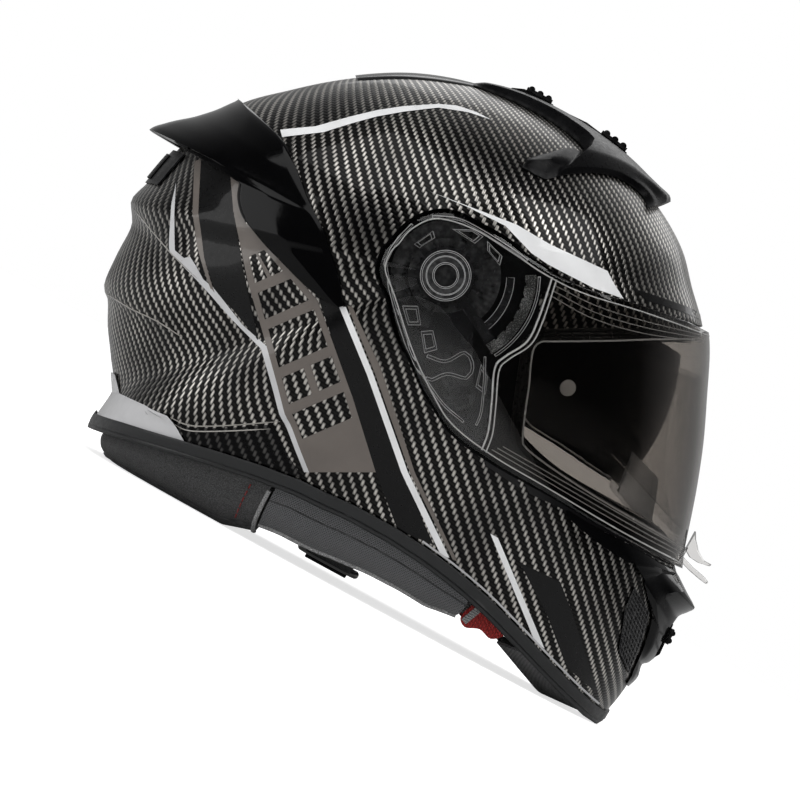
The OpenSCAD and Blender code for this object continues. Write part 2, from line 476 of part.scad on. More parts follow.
module plate_screws() {
  disc(screw_p[0], screw_p[1], 2, plate_y + 1, plate_y + plate_t + 0.1);
  difference() {
    disc(screw_p[0], screw_p[1], 5.6, plate_y + plate_t + 0.05, plate_y + plate_t + 1.6);
    plate(plate_y + plate_t + 0.9, plate_y + plate_t + 3) translate(screw_p) square([1.2, 7],
      center = true);
    plate(plate_y + plate_t + 0.9, plate_y + plate_t + 3) translate(screw_p) square([7, 1.2],
      center = true);
  }
  disc(top_screw_p[0], top_screw_p[1], 1.5, plate_y + 0.2, plate_y + plate_t + 0.1);
  disc(top_screw_p[0], top_screw_p[1], 3, plate_y + plate_t + 0.05, plate_y + plate_t + 1.5);
}
module plate_screws_left() color(metal) side(true) plate_screws();
module plate_screws_right() color(metal) side(false) plate_screws();

// Toothed sector that the visor's pawl clicks along
sector_in = 38.2;
sector_out = 43.5;
module sector() difference() {
  plate(floor_y - 1.3, floor_y + 0.5) polygon(concat(arc(pivot_x, pivot_z, sector_out, -31, 29, 10),
    arc(pivot_x, pivot_z, sector_in, 29, -31, 10)));
  for (a = [-22.5:9:22.5])
    disc(pivot_x + (sector_in - 0.35) * cos(a), pivot_z + (sector_in - 0.35) * sin(a), 1.1, floor_y - 3,
      floor_y + 3);
}
module click_sector_left() color(pale) side(true) sector();
module click_sector_right() color(pale) side(false) sector();

// Hub that carries the visor on the post, with the pawl's arm
pawl_a = -27;
module hub() difference() {
  union() {
    disc(pivot_x, pivot_z, flange_r, hub_y, ear_in - 1.6);
    disc(pivot_x, pivot_z, hub_r, hub_y, ear_in + visor_t);
    translate([pivot_x, 0, pivot_z]) rotate([0, -pawl_a, 0]) {
      translate([flange_r - 2, hub_y + 0.2, -2.5]) cube([37.4 - flange_r + 2, 1.6, 5]);
      translate([34, floor_y - 1, -1.6]) cube([3.4, hub_y - floor_y + 2, 3.2]);
    }
  }
  disc(pivot_x, pivot_z, post_r + run, hub_y - 1, ear_in + visor_t + 1);
}
module visor_hub_left() color(black) side(true) hub();
module visor_hub_right() color(black) side(false) hub();

// Lever that frees the visor, turning on its own small pin
module lever() difference() {
  plate(hub_y, hub_y + lever_t) union() {
    translate(lever_p) circle(3.6);
    polygon([lever_p + [-3.3, -1.2], lever_p + [2.2, 2.6], [pivot_x - 18.8, pivot_z - 9.5],
      [pivot_x - 20.2, pivot_z + 1],
      [pivot_x - 24.2, pivot_z + 1], [pivot_x - 23.6, pivot_z - 8]]);
  }
  disc(lever_p[0], lever_p[1], lever_pin_r + run, hub_y - 1, hub_y + 3);
}
module release_lever_left() color(black) side(true) lever();
module release_lever_right() color(black) side(false) lever();

// Pins that hold the fog-free lens to the visor, one each side
module lens_pins() color(black) for (m = [0, 1]) mirror([0, m, 0])
  translate(on(-14, 80 / reach(-14), -3 + visor_t + 1.6)) rotate([0, 0, -25]) rotate([90, 0, 0]) {
    cylinder(r = 4, h = 1);
    cylinder(r = 2, h = 2.6);
  }

// Tab at the visor's foot to lift it by
module visor_tab() color(clear) translate([0, 9, 0]) rotate([90, 0, 0]) linear_extrude(18)
  polygon([[157.8, 96], [159.4, 94], [165, 91.5], [172.5, 90.2], [173, 92], [166, 94.2], [160.1, 98.5],
    [158, 100.5]]);

// Sun visor: a slice of an ellipsoid that turns about its own axis on two arms
sun_w = half_width - sun_side;
sun_r = pivot_x + reach(0) - sun_back - sun_x;
arm_in = 4.3;
arm_y1 = sun_w - arm_in;
arm_y0 = arm_y1 - sun_t;
function sun_at(y, t) = (sun_r - t) * sqrt(max(0, 1 - pow(y / (sun_w - t * sun_w / sun_r), 2)));
sun_ys = [for (i = [-10:10]) arm_y0 * sin(9 * i)];
module sun_profile() polygon(concat([for (y = sun_ys) [sun_at(y, 0), y]],
  [for (i = [len(sun_ys) - 1:-1:0]) [sun_at(sun_ys[i], sun_t), sun_ys[i]]]));
sun_sides = [[130, 106.6], [80, 112], [60, 113], [44, 119], [36, 128], [33.5, 139], [35, 150], [46, 163],
  [62, 176],
  [84, 180], [130, 180]];
module sun_slice() intersection() {
  translate([sun_x, 0, sun_z]) rotate([90, 0, 0]) rotate_extrude(angle = 70, start = -35,
    $fn = 96) sun_profile();
  translate([0, 150, 0]) rotate([90, 0, 0]) linear_extrude(300) polygon(sun_sides);
}
module sun_arm() difference() {
  plate(arm_y0, arm_y1) union() {
    translate([sun_x, sun_z]) circle(9);
    link([sun_x, sun_z], [sun_x + sun_at(arm_y0, sun_t) + 0.7, sun_z], 15, 21);
  }
  disc(sun_x, sun_z, sun_pin_r + run, arm_y0 - 1, arm_y1 + 1);
}
module sun_visor() color(smoke) {
  difference() {
    sun_slice();
    translate([90, 0, 96]) rotate([0, 90, 0]) cylinder(r = 22, h = 60);
  }
  for (m = [0, 1]) mirror([0, m, 0]) sun_arm();
}
module sun_pivot() {
  disc(sun_x, sun_z, 6.5, arm_y0 - 1.6, arm_y0 - lay);
  disc(sun_x, sun_z, sun_pin_r, arm_y0 - 0.6, arm_y1 + 1);
  disc(sun_x, sun_z, 7.5, arm_y1 + lay, arm_y1 + 3.5);
}
module sun_pivot_left() color(metal) side(true) sun_pivot();
module sun_pivot_right() color(metal) side(false) sun_pivot();

// Chin strap: two webs from rivets inside the shell, joined under the chin by two D-rings
strap_x = 5;
rivet_p = [strap_x, 60];
rivet_y = half_width - rivet_in;
function ribbon(p, t) = let(n = len(p), m = [for (i = [0:n - 1]) let(d = p[min(i + 1,
  n - 1)] - p[max(i - 1, 0)])
  [-d[1], d[0]] / norm(d) * t / 2]) concat(p + m, [for (i = [n - 1:-1:0]) p[i] - m[i]]);
module web(path) translate([strap_x - strap_w / 2, 0, 0]) rotate([90, 0, 90]) linear_extrude(strap_w)
  polygon(ribbon(path, strap_t));
// Depth of the web below the shell's widest part, and height, down the inside of the helmet
web_side = [for (p = [[13.8, 68], [14.4, 59], [15.8, 50], [20.5, 45], [30, 42.3], [40, 39.8], [43.8, 34],
  [44.8, 26],
  [48, 17], [55, 11.5], [68, 8.8]]) [half_width - p[0], p[1]]];
ring_y = [24, 17.9];
ring_z = [7, 11.8];
eye_r = ring_wire + 2;
module strap_left() color(black) difference() {
  union() {
    web(concat(web_side, [[45, 8], [32, 7.4], [26, 7.2]]));
    for (i = [0, 1]) translate([strap_x - strap_w / 2 + 1, ring_y[i], ring_z[i]]) rotate([0, 90, 0])
      cylinder(r = eye_r, h = strap_w - 2);
  }
  for (i = [0, 1]) translate([strap_x - strap_w, ring_y[i], ring_z[i]]) rotate([0, 90, 0])
    cylinder(r = ring_wire + run, h = 2 * strap_w);
  disc(rivet_p[0], rivet_p[1], 3.1, rivet_y - 10, rivet_y + 10);
}
module strap_right() color(black) mirror([0, 1, 0]) difference() {
  web(concat(web_side, [[45, 9], [30, 13], [22, 16.2], [8, 17.6], [-12, 17.6]]));
  disc(rivet_p[0], rivet_p[1], 3.1, rivet_y - 10, rivet_y + 10);
}
module d_ring(i) color(metal) translate([strap_x, ring_y[i], ring_z[i]]) {
  rotate([0, 90, 0]) cylinder(r = ring_wire, h = strap_w + 5, center = true);
  for (m = [-1, 1]) translate([m * (strap_w / 2 + 2.5), 0, 0]) {
    sphere(r = ring_wire);
    rotate([90, 0, 0]) cylinder(r = ring_wire, h = 4);
  }
  translate([0, -4, 0]) rotate_extrude(angle = 180, start = 180) translate([strap_w / 2 + 2.5,
    0]) circle(r = ring_wire);
}
module d_ring_lower() d_ring(0);
module d_ring_upper() d_ring(1);
module strap_rivet() {
  disc(rivet_p[0], rivet_p[1], 3, rivet_y + 1, rivet_y + 6.2);
  disc(rivet_p[0], rivet_p[1], 6, rivet_y, rivet_y + 1.6);
}
module strap_rivets() color(metal) for (m = [true, false]) side(m) strap_rivet();

// Cloth curtain under the chin and the red tabs that pull the cheek pads out
curtain_angles = [rim_front - 0.001, -42.6, -44, -46, -48.5];
module chin_curtain() color(fabric)
  sweep([for (i = [len(curtain_angles) - 1:-1:0]) let(a = curtain_angles[i], r = edge(a))
    [pivot_x + r * cos(a), pivot_z + r * sin(a), 0, -1]], [[1, 6.6], [2.2, 6.6], [4, 30], [2.8, 30]],
      level = true);
tab_y = half_width - 40.4;
module pull_tab(left) color(red) side(left) plate(tab_y, tab_y + 1.5)
  polygon([[80, 28], [93, 26], [97, 19], [92, 13.5], [85, 15], [78, 12.5], [74, 17]]);
module pull_tab_left() pull_tab(true);
module pull_tab_right() pull_tab(false);

// Ribbed sliders of the vents
module ribs(l, w, h, n) {
  translate([-l / 2, -w / 2, 0]) cube([l, w, h]);
  for (i = [0:n - 1]) translate([-l / 2 + l * (i + 0.5) / n, -w / 2 + 1, h - 0.3]) rotate([-90, 0, 0])
    cylinder(r = l / n * 0.36, h = w - 2);
}
front_x = 30;
rear_x = -13;
front_tilt = 8.5;
module top_slider_front() color(black) translate([front_x, 0, 256.6]) rotate([0, front_tilt, 0]) ribs(15,
  18, 1.5, 3);
module top_slider_rear() color(black) translate([rear_x, 0, 258.9]) ribs(14, 16, 1.5, 3);
module chin_slider() color(black) translate([170.7, 0, 55]) rotate([0, 90 - 4, 0]) ribs(8, 16, 1.4, 2);

// Sun visor slider at the left edge, its track and the cable up to the arm
track_slope = 14;
track_a = (shell_angles[cable_cell] + shell_angles[cable_cell + 1]) / 2;
track_c = column(track_a, shell_stops(track_a), shell_steps, 1);
track_s = (track_c[cable_row][0] + track_c[cable_row + 1][0]) / 2;
track_p = on(track_a, track_s, -0.9);
function unit(v) = v / norm(v);
track_n = unit(cross(on(track_a + 0.5, track_s, 0) - on(track_a - 0.5, track_s, 0),
  on(track_a, track_s + 0.01, 0) - on(track_a, track_s - 0.01, 0)));
track_u = unit(cross(track_n, [sin(track_slope), 0, cos(track_slope)]));
track_w = cross(track_u, track_n);
module on_track() multmatrix([for (i = [0:2]) [track_u[i], track_n[i], track_w[i], track_p[i]]]) children();
module sun_track() color(black) on_track() difference() {
  translate([-20, 0, -10]) cube([40, 2, 20]);
  translate([-9, -1, -2.2]) cube([18, 4, 4.4]);
}
module sun_slider() color(black) on_track() {
  translate([-11, 2.3, -5]) cube([10, 2.6, 10]);
  translate([-8, -6.5, -1.9]) cube([4, 9.5, 3.8]);
}
function tube_ring(p, q, r, k) = let(u = (q - p) / norm(q - p), v0 = cross(u, [1, 0.1, 0.2]),
  v = v0 / norm(v0),
  w = cross(u, v)) [for (i = [0:k - 1]) let(a = 360 * i / k) (p + q) / 2 + r * (v * cos(a) + w * sin(a))];
cable_path = [for (p = [[42.3, 74, 8.5], [41, 83, 9.5], [37, 95, 13], [31, 110, 15], [25, 122, 16.5], [21,
  133.2, 18.3]])
  at([p[0], p[1]], p[2])];
module sun_cable() color(black) {
  k = 6;
  rings = [for (i = [0:len(cable_path) - 2]) tube_ring(cable_path[i], cable_path[i + 1], 1, k)];
  n = len(rings);
  polyhedron([for (r = rings) each r], concat([[for (j = [0:k - 1]) j]],
    [[for (j = [k - 1:-1:0]) (n - 1) * k + j]],
    [for (i = [0:n - 2]) for (j = [0:k - 1]) each [[i * k + j, (i + 1) * k + j, (i + 1) * k + (j + 1) % k],
    [i * k + j, (i + 1) * k + (j + 1) % k, i * k + (j + 1) % k]]]));
}

// Which piece is drawn
outer_shell();
impact_liner();
chin_liner();
crown_pad();
cheek_pad_left();
cheek_pad_right();
neck_roll();
neck_panel_left();
neck_panel_right();
base_trim();
eye_port_seal();
breath_deflector();
chin_curtain();
pull_tab_left();
pull_tab_right();
rear_spoiler();
rear_exhaust();
top_vent();
top_slider_front();
top_slider_rear();
chin_vent();
chin_mesh_left();
chin_mesh_right();
chin_slider();
visor();
visor_tab();
antifog_lens();
lens_pins();
visor_hub_left();
visor_hub_right();
base_plate_left();
base_plate_right();
plate_screws_left();
plate_screws_right();
click_sector_left();
click_sector_right();
release_lever_left();
release_lever_right();
sun_visor();
sun_pivot_left();
sun_pivot_right();
sun_track();
sun_slider();
sun_cable();
strap_left();
strap_right();
strap_rivets();
d_ring_lower();
d_ring_upper();
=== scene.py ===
# Full-face motorcycle helmet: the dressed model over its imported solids. Shape values below are in mm.
import math
from bisect import bisect_right

import bmesh
import bpy
import numpy as np
from mathutils import Matrix, Vector
from mathutils.geometry import delaunay_2d_cdt


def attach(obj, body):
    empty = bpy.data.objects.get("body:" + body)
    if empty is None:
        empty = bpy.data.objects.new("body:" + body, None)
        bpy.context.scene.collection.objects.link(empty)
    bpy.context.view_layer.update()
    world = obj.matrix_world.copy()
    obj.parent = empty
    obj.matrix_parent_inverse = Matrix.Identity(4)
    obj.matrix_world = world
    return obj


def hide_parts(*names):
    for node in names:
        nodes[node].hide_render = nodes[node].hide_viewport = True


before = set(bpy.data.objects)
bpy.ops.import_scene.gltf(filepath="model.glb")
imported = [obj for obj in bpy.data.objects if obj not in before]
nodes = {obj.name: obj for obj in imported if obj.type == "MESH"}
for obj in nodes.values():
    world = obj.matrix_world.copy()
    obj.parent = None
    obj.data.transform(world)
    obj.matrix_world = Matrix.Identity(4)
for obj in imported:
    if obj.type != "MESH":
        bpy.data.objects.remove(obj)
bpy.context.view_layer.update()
scene = bpy.context.scene

# Camera: level with the helmet's right side and rolled, so that the helmet hangs nose down
ROLL = math.radians(28.5)
cs, sn = math.cos(ROLL), math.sin(ROLL)
camera = bpy.data.objects.new("camera", bpy.data.cameras.new("camera"))
camera.data.sensor_width = 36
camera.data.lens = 363.6
scene.collection.objects.link(camera)
camera.matrix_world = Matrix(((cs, -sn, 0, -0.0018), (0, 0, -1, -4.0), (sn, cs, 0, 0.0942), (0, 0, 0, 1)))
scene.camera = camera
scene.view_settings.view_transform = "Standard"


# Surface of the shell, as a function of the direction from the visor's pivot in side view.
# The pivot, the shell's half width and the power that rounds its cross section
PX, PZ, HW, RP = -11.0, 157.0, 128.0, 2.2
# Shell thickness, step that the visor lies in, pocket of the mechanism and its radius, gap under what lies on
SHELL_T, STEP, POCKET, POCKET_R, LAY = 3.5, 4.0, 8.0, 28.0, 0.3
OUTLINE = [(163, 15), (164.5, 40), (163.5, 62), (159, 86), (154.5, 97), (148, 118), (139.5, 142), (128, 168),
           (113.5, 196), (99, 211.5), (86, 225.5), (68, 237.3), (44, 246.5), (15, 251.5), (-15, 252),
           (-45, 247.8), (-72, 238.5), (-98, 223), (-122, 203.5), (-142, 184), (-152, 166), (-157.5, 150),
           (-162, 130), (-165, 116), (-160.5, 106), (-159, 90), (-156, 74), (-149, 60), (-138, 45),
           (-129, 30), (-130.5, 15), (-129, -8), (-115, -38), (-85, -66), (-40, -85), (20, -92), (85, -80),
           (130, -50), (152, -18)]
RIM = [(162.5, 4), (155, 4.4), (140, 8.3), (120, 14.5), (100, 21), (80, 27), (60, 31.3), (40, 34), (20, 35.2),
       (0, 35), (-20, 33.8), (-40, 31.5), (-60, 28), (-82, 23.5), (-110, 17.5), (-131.5, 13)]
VISOR = [(157.5, 88.5), (120, 88), (80, 89.3), (50, 90), (25, 94), (10, 102), (-10, 117), (-30, 136),
         (-40, 145), (-41.5, 155), (-40, 160), (-37.5, 170), (-28.5, 181), (-10, 185), (12, 184),
         (30, 182.5), (50, 183.5), (80, 190), (110, 195.5), (116.5, 196.5)]
PORT_SIDE = [(60, 106), (54, 119), (50, 130), (46, 140), (43.5, 148), (50, 153.5), (72, 166), (92, 178),
             (113, 190)]
PORT_FOOT = [(60, 106), (75, 101.5), (120, 98.5), (150, 97.5), (160, 97)]
BIG = 400.0
SIDES = ((1, "left"), (-1, "right"))


def polar(p):
    return math.degrees(math.atan2(p[1] - PZ, p[0] - PX)), math.hypot(p[0] - PX, p[1] - PZ)


def spot(a, r):
    """Side-view point in direction a, at r from the pivot"""
    return PX + r * math.cos(math.radians(a)), PZ + r * math.sin(math.radians(a))


def turned(p, start):
    a, r = polar(p)
    return (a + 360 if a < start else a, r)


RING = [turned(p, polar(OUTLINE[0])[0] - 0.001) for p in OUTLINE]
# One more point before and two after, so that the line closes smoothly
KN = [(RING[-1][0] - 360, RING[-1][1])] + RING + [(a + 360, r) for a, r in RING[:2]]
KA = [k[0] for k in KN]
SLOPES = [0] + [(q[1] - p[1]) / (q[0] - p[0]) for p, q in zip(KN, KN[2:])] + [0]


def reach(a):
    """Distance from the pivot to the shell's outline in direction a"""
    while a < KA[1]:
        a += 360
    while a >= KA[1] + 360:
        a -= 360
    i = min(bisect_right(KA, a) - 1, len(KN) - 3)
    h = KA[i + 1] - KA[i]
    t = (a - KA[i]) / h
    return ((1 + 2 * t) * (1 - t) ** 2 * KN[i][1] + t * (1 - t) ** 2 * h * SLOPES[i]
            + t * t * (3 - 2 * t) * KN[i + 1][1] + t * t * (t - 1) * h * SLOPES[i + 1])


def bow(s):
    """Part of the half width at part s of the reach; tilt gives the angle there, and untilt goes back"""
    return max(0, 1 - max(0, s) ** RP) ** (1 / RP)


def tilt(s):
    return math.acos(min(1, max(0, s) ** (RP / 2)))


def untilt(t):
    return 1 if t < math.radians(0.01) else max(0, math.cos(t)) ** (2 / RP)


def on(a, s, d):
    """Point in direction a at part s of the reach, d below the shell's surface"""
    x, z = spot(a, (reach(a) - d) * s)
    return (x, (HW - d) * bow(s), z)


def at(x, z, d=0):
    """Point over a side-view place, d below the shell's surface"""
    a, r = polar((x, z))
    return on(a, min(1, r / reach(a)), d)


def line(table):
    """Straight interpolation through points, as the solids have it"""
    xs = [p[0] for p in table]

    def f(x):
        if x <= xs[0]:
            return table[0][1]
        if x >= xs[-1]:
            return table[-1][1]
        i = bisect_right(xs, x) - 1
        return table[i][1] + (table[i + 1][1] - table[i][1]) * (x - xs[i]) / (xs[i + 1] - xs[i])
    return f


def soft(table):
    """Monotone cubic through points"""
    xs, ys = [p[0] for p in table], [p[1] for p in table]
    n = len(xs)
    if n < 3:
        return line(table)
    h = [xs[i + 1] - xs[i] for i in range(n - 1)]
    d = [(ys[i + 1] - ys[i]) / h[i] for i in range(n - 1)]
    m = d[:1] + [0 if p * q <= 0 else 2 * p * q / (p + q) for p, q in zip(d, d[1:])] + d[-1:]

    def f(x):
        if x <= xs[0]:
            return ys[0]
        if x >= xs[-1]:
            return ys[-1]
        i = bisect_right(xs, x) - 1
        t = (x - xs[i]) / h[i]
        return ((1 + 2 * t) * (1 - t) ** 2 * ys[i] + t * (1 - t) ** 2 * h[i] * m[i]
                + t * t * (3 - 2 * t) * ys[i + 1] + t * t * (t - 1) * h[i] * m[i + 1])
    return f


def turn_line(points, start):
    return soft(sorted(turned(p, start) for p in points))


def refine(values, step):
    out = [values[0]]
    for a, b in zip(values, values[1:]):
        n = max(1, math.ceil(abs(b - a) / step - 1e-6))
        out += [a + (b - a) * (i + 1) / n for i in range(n)]
    return out


def smooth_path(points, step, closed=False):
    """Catmull-Rom line through points of any size, about step apart"""
    p = [np.array(q, float) for q in points]
    n = len(p)
    out = []
    for i in range(n if closed else n - 1):
        p1, p2 = p[i], p[(i + 1) % n]
        p0 = p[i - 1] if closed or i else 2 * p1 - p2
        p3 = p[(i + 2) % n] if closed or i < n - 2 else 2 * p2 - p1
        k = max(1, int(np.linalg.norm(p2 - p1) / step + 0.5))
        for j in range(k):
            t = j / k
            out.append(0.5 * (2 * p1 + (p2 - p0) * t + (2 * p0 - 5 * p1 + 4 * p2 - p3) * t * t
                              + (3 * p1 - p0 - 3 * p2 + p3) * t ** 3))
    if not closed:
        out.append(p[-1])
    return out


PORT_LOW = polar(PORT_SIDE[0])[0]
PORT_MID, PORT_TOP = -20.3, 15.4
RIM_FRONT = polar(RIM[0])[0]
RIM_REAR = polar(RIM[-1])[0] + 360
rim_line = turn_line(RIM, 0)
visor_line = turn_line(VISOR, 0)
side_line = turn_line(PORT_SIDE, -90)
foot_line = turn_line(PORT_FOOT, -90)
pocket_line = soft([(-77, 0), (-76, 46), (-68, 52), (-63, 66), (-47, 66), (-42, 52), (-36, 46), (40, 46),
                    (41, 0)])


def rim(a):
    b = a % 360
    return rim_line(b) if RIM_REAR < b < RIM_FRONT + 360 else BIG


def edge(a):
    return min(reach(a), rim(a))


def visor_edge(a):
    b = a + 360 if a < -22 else a
    return max(27.5, visor_line(b)) if 17.2 < b < 337.8 else BIG


def step_edge(a):
    return min(reach(a), max(POCKET_R + 1, visor_edge(a) + 1.5))


def port_in(a):
    return min(reach(a), side_line(a)) if PORT_LOW < a < PORT_TOP else BIG


def port_out(a):
    return min(reach(a), foot_line(a)) if PORT_LOW < a < PORT_MID else BIG


def pocket(a):
    b = a - 360 if a > 180 else a
    return min(max(POCKET_R, pocket_line(b)), step_edge(a) - 1)


# Creases pressed into the rear of the shell, as lines with the swelling above and the hollow below
CREASES = [([(-168, 70), (-155, 71), (-139, 70), (-124, 71), (-106, 70)], 1.5, 13),
           ([(-170, 118), (-163.6, 115), (-132.5, 103), (-98, 96)], 1.1, 12),
           ([(-97, 33), (-85, 35), (-47.5, 57.6), (-36, 66)], 0.9, 9)]


def dent(x, z):
    """How far the creases lift the surface"""
    total = 0
    for pts, h, w in CREASES:
        if not (pts[0][0] - 10 < x < pts[-1][0] + 25):
            continue
        best, signed, along = 1e9, 0, 0
        for i, (p, q) in enumerate(zip(pts, pts[1:])):
            dx, dz = q[0] - p[0], q[1] - p[1]
            t = min(1, max(0, ((x - p[0]) * dx + (z - p[1]) * dz) / (dx * dx + dz * dz)))
            ex, ez = x - p[0] - t * dx, z - p[1] - t * dz
            e = math.hypot(ex, ez)
            if e < best:
                best, signed, along = e, math.copysign(e, dx * ez - dz * ex), (i + t) / (len(pts) - 1)
        fade = min(1, max(0, (1.02 - along) * 4)) * math.exp(-(max(0, best - 3) / w) ** 2)
        total += h * fade * math.tanh(signed / 2.2)
    return total


def skin_point(x, z, lift, side=1):
    p = at(x, z, -lift - dent(x, z))
    return (p[0], side * p[1], p[2])


EVEN_REACH = [sum(reach(v + k) for k in range(-24, 25)) / 49 for v in range(360)]
EVEN_REACH.append(EVEN_REACH[0])


def weave_uv(co):
    """Arc length along each meridian from the pivot, so that the cloth keeps its scale on the curved sides"""
    x, z = co[:, 0] - PX, co[:, 2] - PZ
    r = np.hypot(x, z)
    a = np.degrees(np.arctan2(z, x))
    full = np.array([reach(v) for v in a])
    s = np.minimum(1, r / full)
    # near the middle the side distance says better where a point lies, because creases move it inward
    ys = np.maximum(0, 1 - np.minimum(1, np.abs(co[:, 1]) / HW) ** RP) ** (1 / RP)
    k = np.clip((s - 0.82) / 0.14, 0, 1)
    s = s + (ys - s) * k * k * (3 - 2 * k)
    full = np.interp(a % 360, range(361), EVEN_REACH)
    k = np.sin(np.linspace(0, np.pi / 2, 25))[None, :] * s[:, None]
    rr, yy = k * full[:, None], HW * np.maximum(0, 1 - k ** RP) ** (1 / RP)
    arc = np.sqrt(np.diff(rr) ** 2 + np.diff(yy) ** 2).sum(1)
    return np.stack([arc * np.cos(np.radians(a)), arc * np.sin(np.radians(a))], 1) * 0.001


# Mesh building
def bevelled(ob, width, angle, edge_glint=None):
    """Rounds the sharp edges, and can give the rounded faces a paler material, a painted highlight along them
    """
    mod = ob.modifiers.new("bevel", "BEVEL")
    mod.width = width * 0.001
    mod.segments = 2
    mod.limit_method = "ANGLE"
    mod.angle_limit = math.radians(angle)
    mod.harden_normals = True
    if edge_glint:
        ob.data.materials.append(edge_glint)
        mod.material = 1


def make(name, verts, faces, material, body="helmet", uv=None, angle=32, rep=(), slot=None, merge=True,
         bevel=0, solid=True, edge_glint=None):
    """An object of points in mm that rides on a body and stands for the solids in rep; its slot argument is not
    used
    """
    mesh = bpy.data.meshes.new(name)
    mesh.from_pydata([(v[0] * 0.001, v[1] * 0.001, v[2] * 0.001) for v in verts], [], faces)
    bm = bmesh.new()
    bm.from_mesh(mesh)
    if merge:
        bmesh.ops.remove_doubles(bm, verts=bm.verts, dist=4e-6)
        bmesh.ops.dissolve_degenerate(bm, edges=bm.edges, dist=2e-6)
    if solid:
        bmesh.ops.recalc_face_normals(bm, faces=bm.faces)
    bm.to_mesh(mesh)
    bm.free()
    if uv is not None:
        co = np.array([v.co for v in mesh.vertices], float).reshape(-1, 3) * 1000
        values = uv(co)
        layer = mesh.uv_layers.new(name="UVMap")
        index = np.zeros(len(mesh.loops), int)
        mesh.loops.foreach_get("vertex_index", index)
        layer.data.foreach_set("uv", values[index].astype(np.float32).ravel())
    mesh.materials.append(material)
    mesh.shade_smooth()
    mesh.set_sharp_from_angle(angle=math.radians(angle))
    ob = bpy.data.objects.new(name, mesh)
    scene.collection.objects.link(ob)
    if bevel:
        bevelled(ob, bevel, 38, edge_glint)
    if body:
        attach(ob, body)
    if rep:
        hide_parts(*rep)
    return ob


def mirrored(points, side):
    return [(p[0], side * p[1], p[2]) for p in points]


def bands(n, m, base=0, closed=False):
    """Faces between n rows, each a ring of m points"""
    pairs = [(base + i * m, base + (i + 1) % n * m) for i in range(n if closed else n - 1)]
    return [(p + j, p + (j + 1) % m, q + (j + 1) % m, q + j) for p, q in pairs for j in range(m)]


def caps(n, m, base=0):
    """Faces over the first and the last ring"""
    return [tuple(base + i * m + j for j in range(m)) for i in (0, n - 1)]


def half_pen(points, i, width):
    """Half of a line's width at its point i, square to the line"""
    d = points[min(i + 1, len(points) - 1)] - points[max(i - 1, 0)]
    return np.array([-d[1], d[0]]) / (np.linalg.norm(d) or 1) * width / 2


def skin(outer, inner, around=False, sides=(1, -1), gone=None):
    """Closed skin over columns of points; gone(i, j, side) names left-out cells"""
    n, m = len(outer), len(outer[0])
    last = n if around else n - 1
    flat = [p for c in outer for p in c] + [p for c in inner for p in c]
    verts, faces = [], []
    both = len(sides) == 2

    def o(i, j):
        return (i % n) * m + j

    def q(i, j):
        return n * m + (i % n) * m + j
    mid = [abs(p[1]) < 0.002 for p in flat]
    for side in sides:
        base = len(verts)
        verts += mirrored(flat, side)

        def shut(i, j):
            return (j < 0 or j > m - 2 or (not around and (i < 0 or i > n - 2))
                    or (gone is not None and gone(i % n, j, side)))

        def seam(a, b):
            return both and mid[a] and mid[b]
        for i in range(last):
            for j in range(m - 1):
                if shut(i, j):
                    continue
                new = [(o(i, j), o(i, j + 1), o(i + 1, j + 1), o(i + 1, j)),
                       (q(i, j), q(i + 1, j), q(i + 1, j + 1), q(i, j + 1))]
                if shut(i, j - 1) and not seam(o(i, j), o(i + 1, j)):
                    new.append((o(i, j), o(i + 1, j), q(i + 1, j), q(i, j)))
                if shut(i, j + 1) and not seam(o(i, j + 1), o(i + 1, j + 1)):
                    new.append((o(i + 1, j + 1), o(i, j + 1), q(i, j + 1), q(i + 1, j + 1)))
                if shut(i - 1, j):
                    new.append((o(i, j + 1), o(i, j), q(i, j), q(i, j + 1)))
                if shut(i + 1, j):
                    new.append((o(i + 1, j), o(i + 1, j + 1), q(i + 1, j + 1), q(i + 1, j)))
                faces += [tuple(base + k for k in f) for f in new]
    return verts, faces


def column(a, stops, steps):
    """Rows (s, outer depth, inner depth) between stops (distance, outer depth, inner depth) in direction a"""
    w = reach(a)
    out = []
    for (r0, d0, e0), (r1, d1, e1), n in zip(stops, stops[1:], steps):
        t0, t1 = tilt(r0 / w), tilt(r1 / w)
        out += [(untilt(t0 + (t1 - t0) * k / n), d0 + (d1 - d0) * k / n, e0 + (e1 - e0) * k / n)
                for k in range(n)]
    r, d, e = stops[-1]
    return out + [(untilt(tilt(r / w)), d, e)]


def panel(angles, stops, steps, around=False, sides=(1, -1), gone=None, relief=None):
    """Closed skin whose columns run out from the pivot in the given directions"""
    outer, inner = [], []
    for a in angles:
        cells = column(a, stops(a), steps)
        if relief:
            cells = [(s, d - relief(a, s, d), e) for s, d, e in cells]
        outer.append([on(a, s, d) for s, d, e in cells])
        inner.append([on(a, s, e) for s, d, e in cells])
    return skin(outer, inner, around, sides, gone)


# Half axes of the oval that goes round the neck
NECK_A, NECK_B = 165, 120


